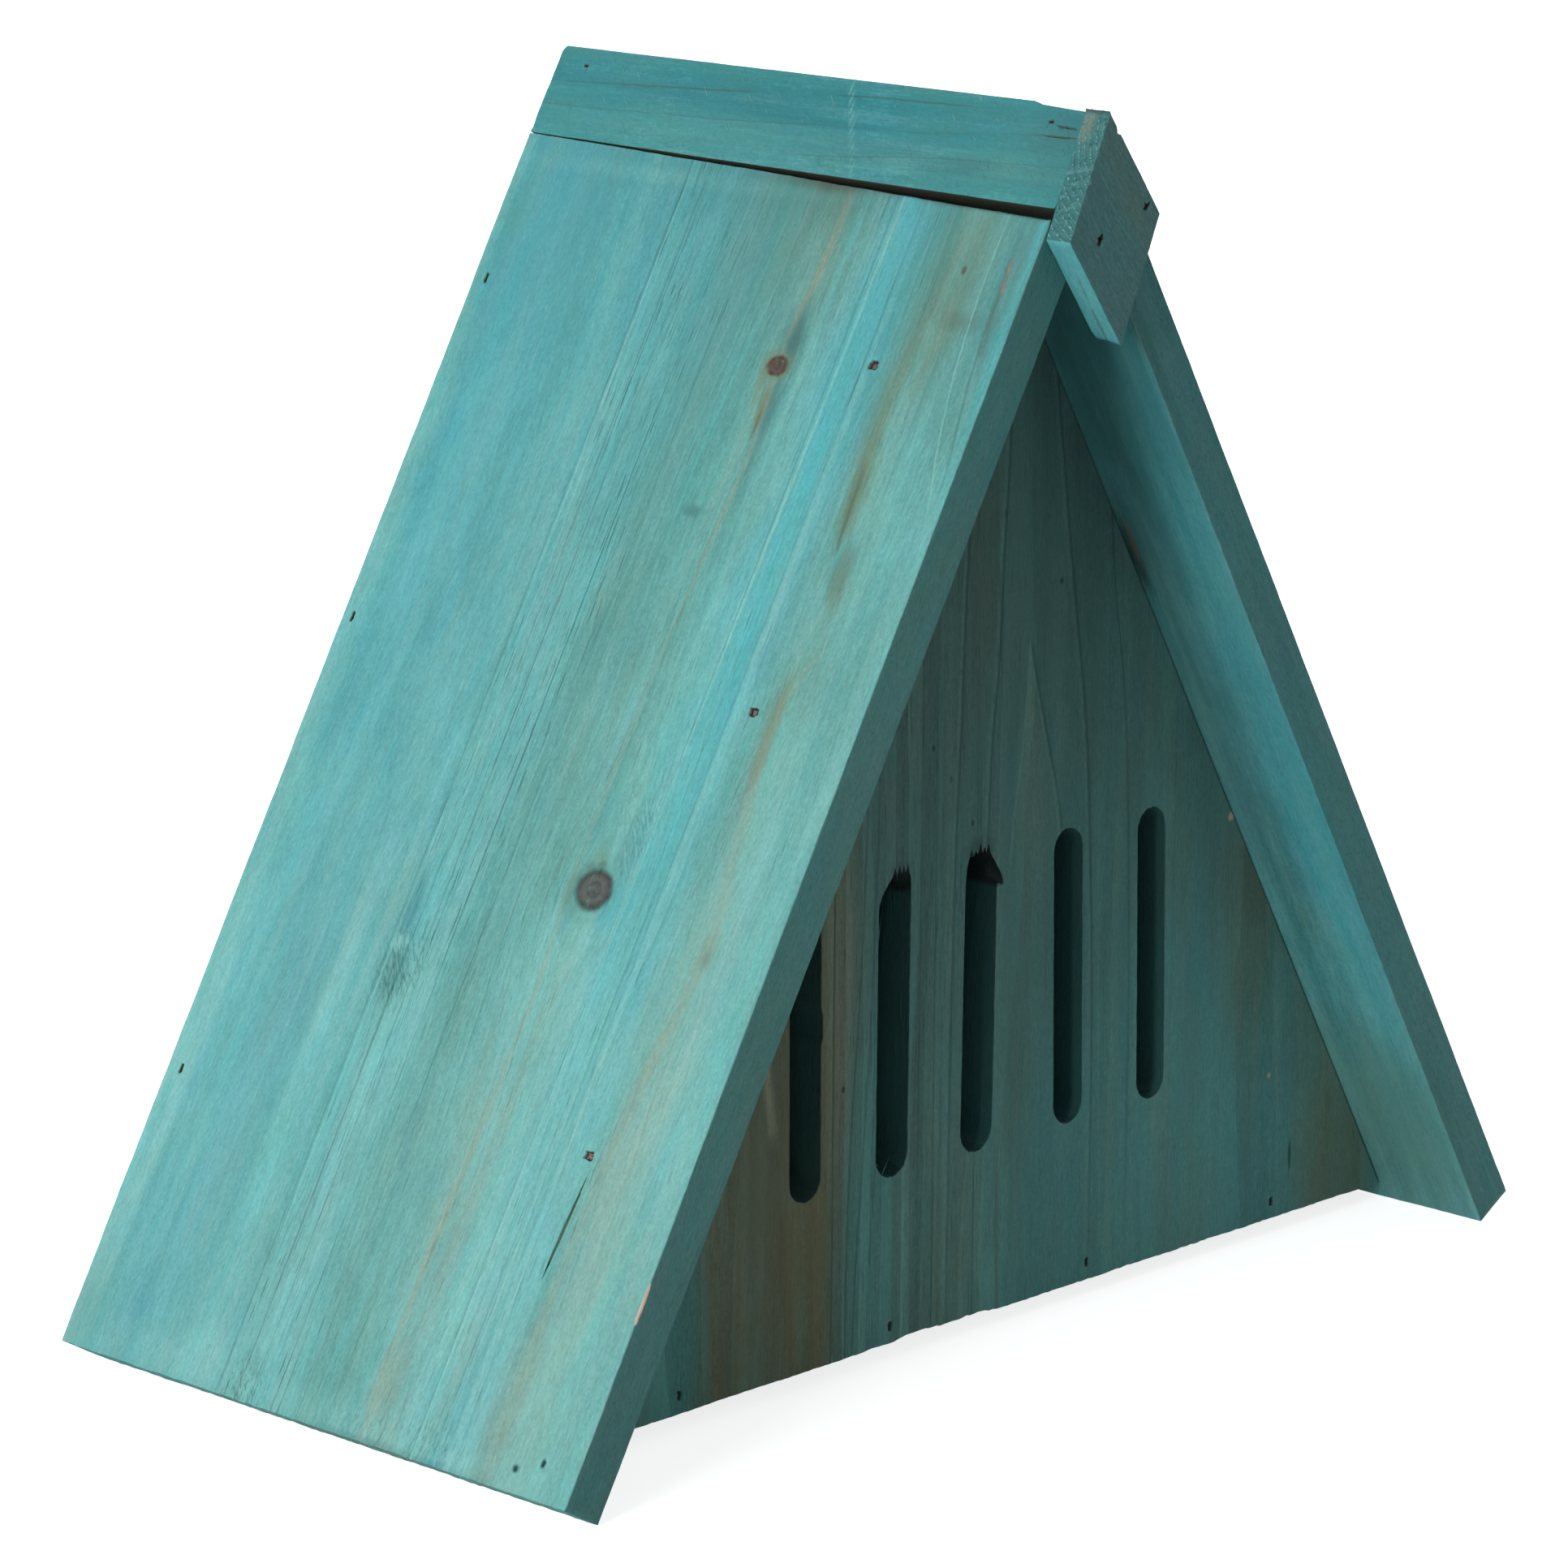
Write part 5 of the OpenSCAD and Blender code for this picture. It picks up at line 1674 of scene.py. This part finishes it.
class HOUSE_OT_gables(Operator):
    """Builds the slotted front gable and the plain back gable"""
    bl_idname = "butterfly_house.gables"
    bl_label = "Gables"

    def execute(self, context):
        gable("front_gable", FRONT_GABLE, FrontGableWood, 3.9, True)
        gable("back_gable", BACK_GABLE, BackGableWood, 4.4, False)
        return {"FINISHED"}


class HOUSE_OT_floor_board(Operator):
    """Builds the floor board between the gables"""
    bl_idname = "butterfly_house.floor_board"
    bl_label = "Floor board"

    def execute(self, context):
        board = Board("floor_board", FLOOR, FLOOR_THICKNESS, 5.0, 5.5)
        foot = half_width(GABLE_BOTTOM) - 0.15
        deep = DEPTH - GABLE_RECESS - 2 * GABLE_THICKNESS
        corners = ((-foot, 0), (foot, 0), (foot, deep), (-foot, deep))
        # The ends are cut to the slopes
        board.lean = lambda u, v, w: (u * (1 - w * SIN / COS / foot), v)
        planed, sawn = dict(dents=0.1, rough=0.05, wear=0.3), dict(dents=0.15, rough=0.2, wear=0.25)
        sides = (dict(planed, seed=5.1), dict(sawn, seed=5.2), dict(planed, seed=5.3), dict(sawn, seed=5.4))
        board.loops.append(outline(corners, sides))
        board.knots = [(knot.u, knot.v, knot.radius) for knot in FloorWood.knots]
        board.build(stained_wood("Floor stain", FloorWood))
        return {"FINISHED"}


def ridge_strip(name, lie, wood, seed, left):
    """A ridge strip: bevelled along the ridge, out of parallel, with a ragged front end."""
    wear = bpy.context.scene.house_wear
    edge, saw = wear.edge / MM, wear.saw / MM
    board = Board(name, lie, CAP_THICKNESS, 3.0, seed)
    bevel = SIN / COS
    top = 0.0 if left else 2 * CAP_THICKNESS * bevel
    # The top is bevelled to the other slope: the wood is squeezed down towards its lower edge
    board.lean = lambda u, v, w: (u, v + bevel * w * (CAP_BACK - v) / (CAP_BACK - top))
    corners = ((0, top), (DEPTH, top), (DEPTH, CAP_BACK), (0, CAP_FRONT))

    def ridge_corner(along):
        """The ridge corner broken away over the last stretch behind the plate."""
        if not left or along > 13.6:
            return 0.0, 0.0, 0.0
        return min(1.0, (13.6 - along) / 0.8) * (0.35 + 0.04 * (13.6 - along)), 0.2, 0.0

    sides = (
        dict(dents=0.06, rough=0.03, wear=edge * 0.3, seed=seed + 1, extra=ridge_corner, step=1.0),
        dict(dents=0.2, rough=saw, wear=edge, seed=seed + 2, step=0.8, blunt=0.8 if left else 0.25),
        # The lower edge stands over the gap at the top of the roof board: its wall is painted dark as shade
        dict(dents=0.06, rough=0.06, wear=edge * 0.4, seed=seed + 3, dark=0.45),
        dict(dents=0.15, rough=saw, wear=edge * 0.8, seed=seed + 4, step=0.8),
    )
    board.loops.append(outline(corners, sides))
    if left:
        for y in RIDGE_ROW:
            board.pits.append(brad_pit(y, RIDGE_ROW_DROP, 0.62, 0.42))
        board.pits.append(Pit(4.4, 4.6, 2.4, 0.32, -4, 0.5, 0.8, 0.3, 24, 0.45))
        board.pits.append(Pit(5.6, 6.8, 3.6, 0.12, 1, 0.3, 0.5, 0.3, 28, 0.35))
    board.relief_depth = 0.1
    material = stained_wood("Ridge stain, " + ("left" if left else "right"), wood)
    board.build(material)


class HOUSE_OT_ridge_strips(Operator):
    """Builds the two strips of the ridge cap"""
    bl_idname = "butterfly_house.ridge_strips"
    bl_label = "Ridge strips"

    def execute(self, context):
        ridge_strip("left_ridge_strip", LEFT_CAP, RidgeWood, 6.6, True)
        ridge_strip("right_ridge_strip", RIGHT_CAP, RightRidgeWood, 7.7, False)
        return {"FINISHED"}


class HOUSE_OT_end_plate(Operator):
    """Builds the diamond-shaped plate over the front end of the ridge"""
    bl_idname = "butterfly_house.end_plate"
    bl_label = "End plate"

    def execute(self, context):
        wear = context.scene.house_wear
        board = Board("ridge_end_plate", PLATE, PLATE_THICKNESS, 1.6, 8.8)
        board.wall_step = 0.7
        half = PLATE_SIDE * COS / 2
        quarter = PLATE_SIDE * SIN / 2
        # The corners stand out a little where wear then takes them back
        corners = ((-quarter - 0.15, -half - 0.2), (3 * quarter + 0.33, -half - 0.23),
                   (quarter - 0.3, half + 0.25), (-3 * quarter, half))

        def notch(along):
            """The nick near the top of the upper right edge."""
            spot = (along - PLATE_SIDE + 5.2) / 0.8
            return (0.55 * (1 - spot * spot) if abs(spot) < 1 else 0.0), 0.0, 0.0

        saw = wear.saw / MM
        sides = (
            dict(dents=0.08, rough=0.08, wear=0.2, seed=8.1, step=0.7, blunt=0.2, corner_wear=0.5),
            dict(dents=0.12, rough=saw, wear=0.35, seed=8.2, step=0.6, blunt=0.1, corner_wear=0.4),
            dict(dents=0.08, rough=0.08, wear=0.25, seed=8.3, step=0.5, blunt=0.2, corner_wear=0.5,
                 extra=notch),
            dict(dents=0.1, rough=saw * 1.2, wear=0.3, seed=8.4, step=0.5, blunt=0.0, corner_wear=0.3),
        )
        board.loops.append(outline(corners, sides))
        board.relief_depth = 0.08

        def rounded(u, v, w):
            """The lower corner is rounded off towards the back."""
            away = math.hypot(u - corners[1][0], v - corners[1][1]) / 3.6
            if away > 1:
                return u, v
            pull = 0.045 * min(1.0, w / PLATE_THICKNESS * 1.3) * (1 - away) ** 1.2
            return u * (1 - pull), v * (1 - pull)

        board.lean = rounded
        for x, z in PLATE_BRADS:
            spot = (RIDGE - PLATE.start) / MM + Vector((x, -PLATE_THICKNESS, z))
            board.pits.append(Pit(spot.dot(PLATE.along), spot.dot(PLATE.across), 0.68, 1.2, 26, 0.95, 1.1,
                                  0.7, 18))
        # Fibres left standing along the back of the sawn end and along its front
        top, low = Vector((-3 * quarter, half)), Vector((-quarter, -half))
        for inset, *facts in ((0.4, (-0.75, -0.3, 0.5), 34, (4.6, 5.7), 0.6, 81),
                              (0.6, (-0.5, -0.2, -0.6), 10, (0.3, 0.9), 0.5, 83)):
            fray(board, top + Vector((inset, -inset)), low + Vector((0, inset)), *facts)
        board.build(stained_wood("Plate stain", PlateWood))
        return {"FINISHED"}


class HOUSE_OT_brads(Operator):
    """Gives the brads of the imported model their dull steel"""
    bl_idname = "butterfly_house.brads"
    bl_label = "Brads"

    def execute(self, context):
        bright = steel_finish("Brad steel", 1.0, 0.3)
        dull = steel_finish("Stained brad steel", 3.0, 0.75)
        for name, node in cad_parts.items():
            if name.endswith("_brads"):
                node.data.materials.clear()
                node.data.materials.append(bright if name == "left_front_brads" else dull)
                soft = node.modifiers.new("Soft corners", "BEVEL")
                soft.width = 0.12 * MM
                soft.segments = 2
                soft.limit_method = "ANGLE"
        return {"FINISHED"}


# Studio

def studio_floor(side):
    """A pale floor, white to the eye, which keeps the shadow of the house."""
    half = side / 2
    mesh = bpy.data.meshes.new("studio_floor")
    mesh.from_pydata([(-half, -half, 0), (half, -half, 0), (half, half, 0), (-half, half, 0)], [],
                     [(0, 1, 2, 3)])
    floor = bpy.data.objects.new("studio_floor", mesh)
    bpy.context.scene.collection.objects.link(floor)
    material = bpy.data.materials.new("Studio floor")
    mix = Mix(material)
    cloud = mix.noise(mix.object_place(), (0.6, 0.6, 0.6), 2.0)
    mix.surface({"Base Color": mix.blend(cloud, (0.78, 0.78, 0.78, 1), (0.8, 0.8, 0.8, 1)),
                 "Emission Strength": mix.shown() * 0.8},
                {"Roughness": 0.9, "Specular IOR Level": 0.1, "Emission Color": (1, 1, 1, 1)})
    mesh.materials.append(material)


def studio_sky(level):
    """Light from all round at a level, which looks white itself."""
    world = bpy.data.worlds.new("Studio sky")
    bpy.context.scene.world = world
    mix = Mix(world)
    sky = mix.node("ShaderNodeBackground", {"Color": (1, 1, 1, 1),
                                            "Strength": mix.ease(mix.shown(), 0.0, 1.0, level, 1.0)})
    mix.node("ShaderNodeOutputWorld", (sky.outputs[0],))


def aimed(name, spot, level, size):
    """A square area light on the house, at a level where 1 shows colours as they are written."""
    light = bpy.data.lights.new(name, "AREA")
    light.shape = "SQUARE"
    light.size = size
    away = Vector(spot)
    light.energy = level * math.pi ** 2 * away.length_squared
    lamp = bpy.data.objects.new(name, light)
    bpy.context.scene.collection.objects.link(lamp)
    lamp.location = HOUSE_MIDDLE + away
    lamp.rotation_euler = away.to_track_quat("Z", "Y").to_euler()


def photo_camera():
    """The camera at the photograph's viewing angle."""
    lens = bpy.data.cameras.new("Camera")
    lens.sensor_width = 36.0
    lens.sensor_fit = "HORIZONTAL"
    lens.lens = CAMERA_LENS
    camera = bpy.data.objects.new("Camera", lens)
    bpy.context.scene.collection.objects.link(camera)
    turn, fall, roll = (math.radians(angle) for angle in CAMERA_ANGLES)
    ahead = Vector((math.sin(turn) * math.cos(fall), math.cos(turn) * math.cos(fall), -math.sin(fall)))
    right = Vector((math.cos(turn), -math.sin(turn), 0))
    up = right.cross(ahead)
    tilted = right * math.cos(roll) + up * math.sin(roll)
    upright = up * math.cos(roll) - right * math.sin(roll)
    pose = Matrix((tilted, upright, -ahead)).transposed().to_4x4()
    pose.translation = Vector(CAMERA_PLACE)
    camera.matrix_world = pose
    bpy.context.scene.camera = camera


class HOUSE_OT_studio(Operator):
    """Builds the floor, the lights and the camera"""
    bl_idname = "butterfly_house.studio"
    bl_label = "Studio"

    def execute(self, context):
        studio = context.scene.house_studio
        studio_floor(studio.floor_size)
        studio_sky(studio.sky)
        aimed("Key light", (-2.1, -0.2, 0.62), studio.key, 1.2)
        aimed("Back light", (1.5, 1.05, 1.2), studio.back, 1.4)
        photo_camera()
        context.scene.view_settings.view_transform = "Standard"
        return {"FINISHED"}


class HOUSE_PT_build(Panel):
    """The pieces of the house, in the order they are built"""
    bl_label = "Butterfly House"
    bl_idname = "HOUSE_PT_build"
    bl_space_type = "VIEW_3D"
    bl_region_type = "UI"
    bl_category = "Butterfly House"

    def draw(self, context):
        for group in (context.scene.house_wear, context.scene.house_stain, context.scene.house_studio):
            box = self.layout.box()
            for key in group.__annotations__:
                box.prop(group, key)
        for piece in PIECES:
            self.layout.operator(piece.bl_idname)


PIECES = (HOUSE_OT_studio, HOUSE_OT_roof_boards, HOUSE_OT_gables, HOUSE_OT_floor_board, HOUSE_OT_ridge_strips,
          HOUSE_OT_end_plate, HOUSE_OT_brads)
GROUPS = (("house_stain", StainColours), ("house_wear", BoardWear), ("house_studio", StudioLight))


def register():
    for name, group in GROUPS:
        bpy.utils.register_class(group)
        setattr(bpy.types.Scene, name, PointerProperty(type=group))
    for piece in PIECES:
        bpy.utils.register_class(piece)
    bpy.utils.register_class(HOUSE_PT_build)


def unregister():
    bpy.utils.unregister_class(HOUSE_PT_build)
    for piece in reversed(PIECES):
        bpy.utils.unregister_class(piece)
    for name, group in reversed(GROUPS):
        delattr(bpy.types.Scene, name)
        bpy.utils.unregister_class(group)


def main():
    register()
    bpy.ops.butterfly_house.studio()
    bpy.ops.butterfly_house.roof_boards()
    bpy.ops.butterfly_house.gables()
    bpy.ops.butterfly_house.floor_board()
    bpy.ops.butterfly_house.ridge_strips()
    bpy.ops.butterfly_house.end_plate()
    bpy.ops.butterfly_house.brads()
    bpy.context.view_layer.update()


if __name__ == "__main__":
    main()
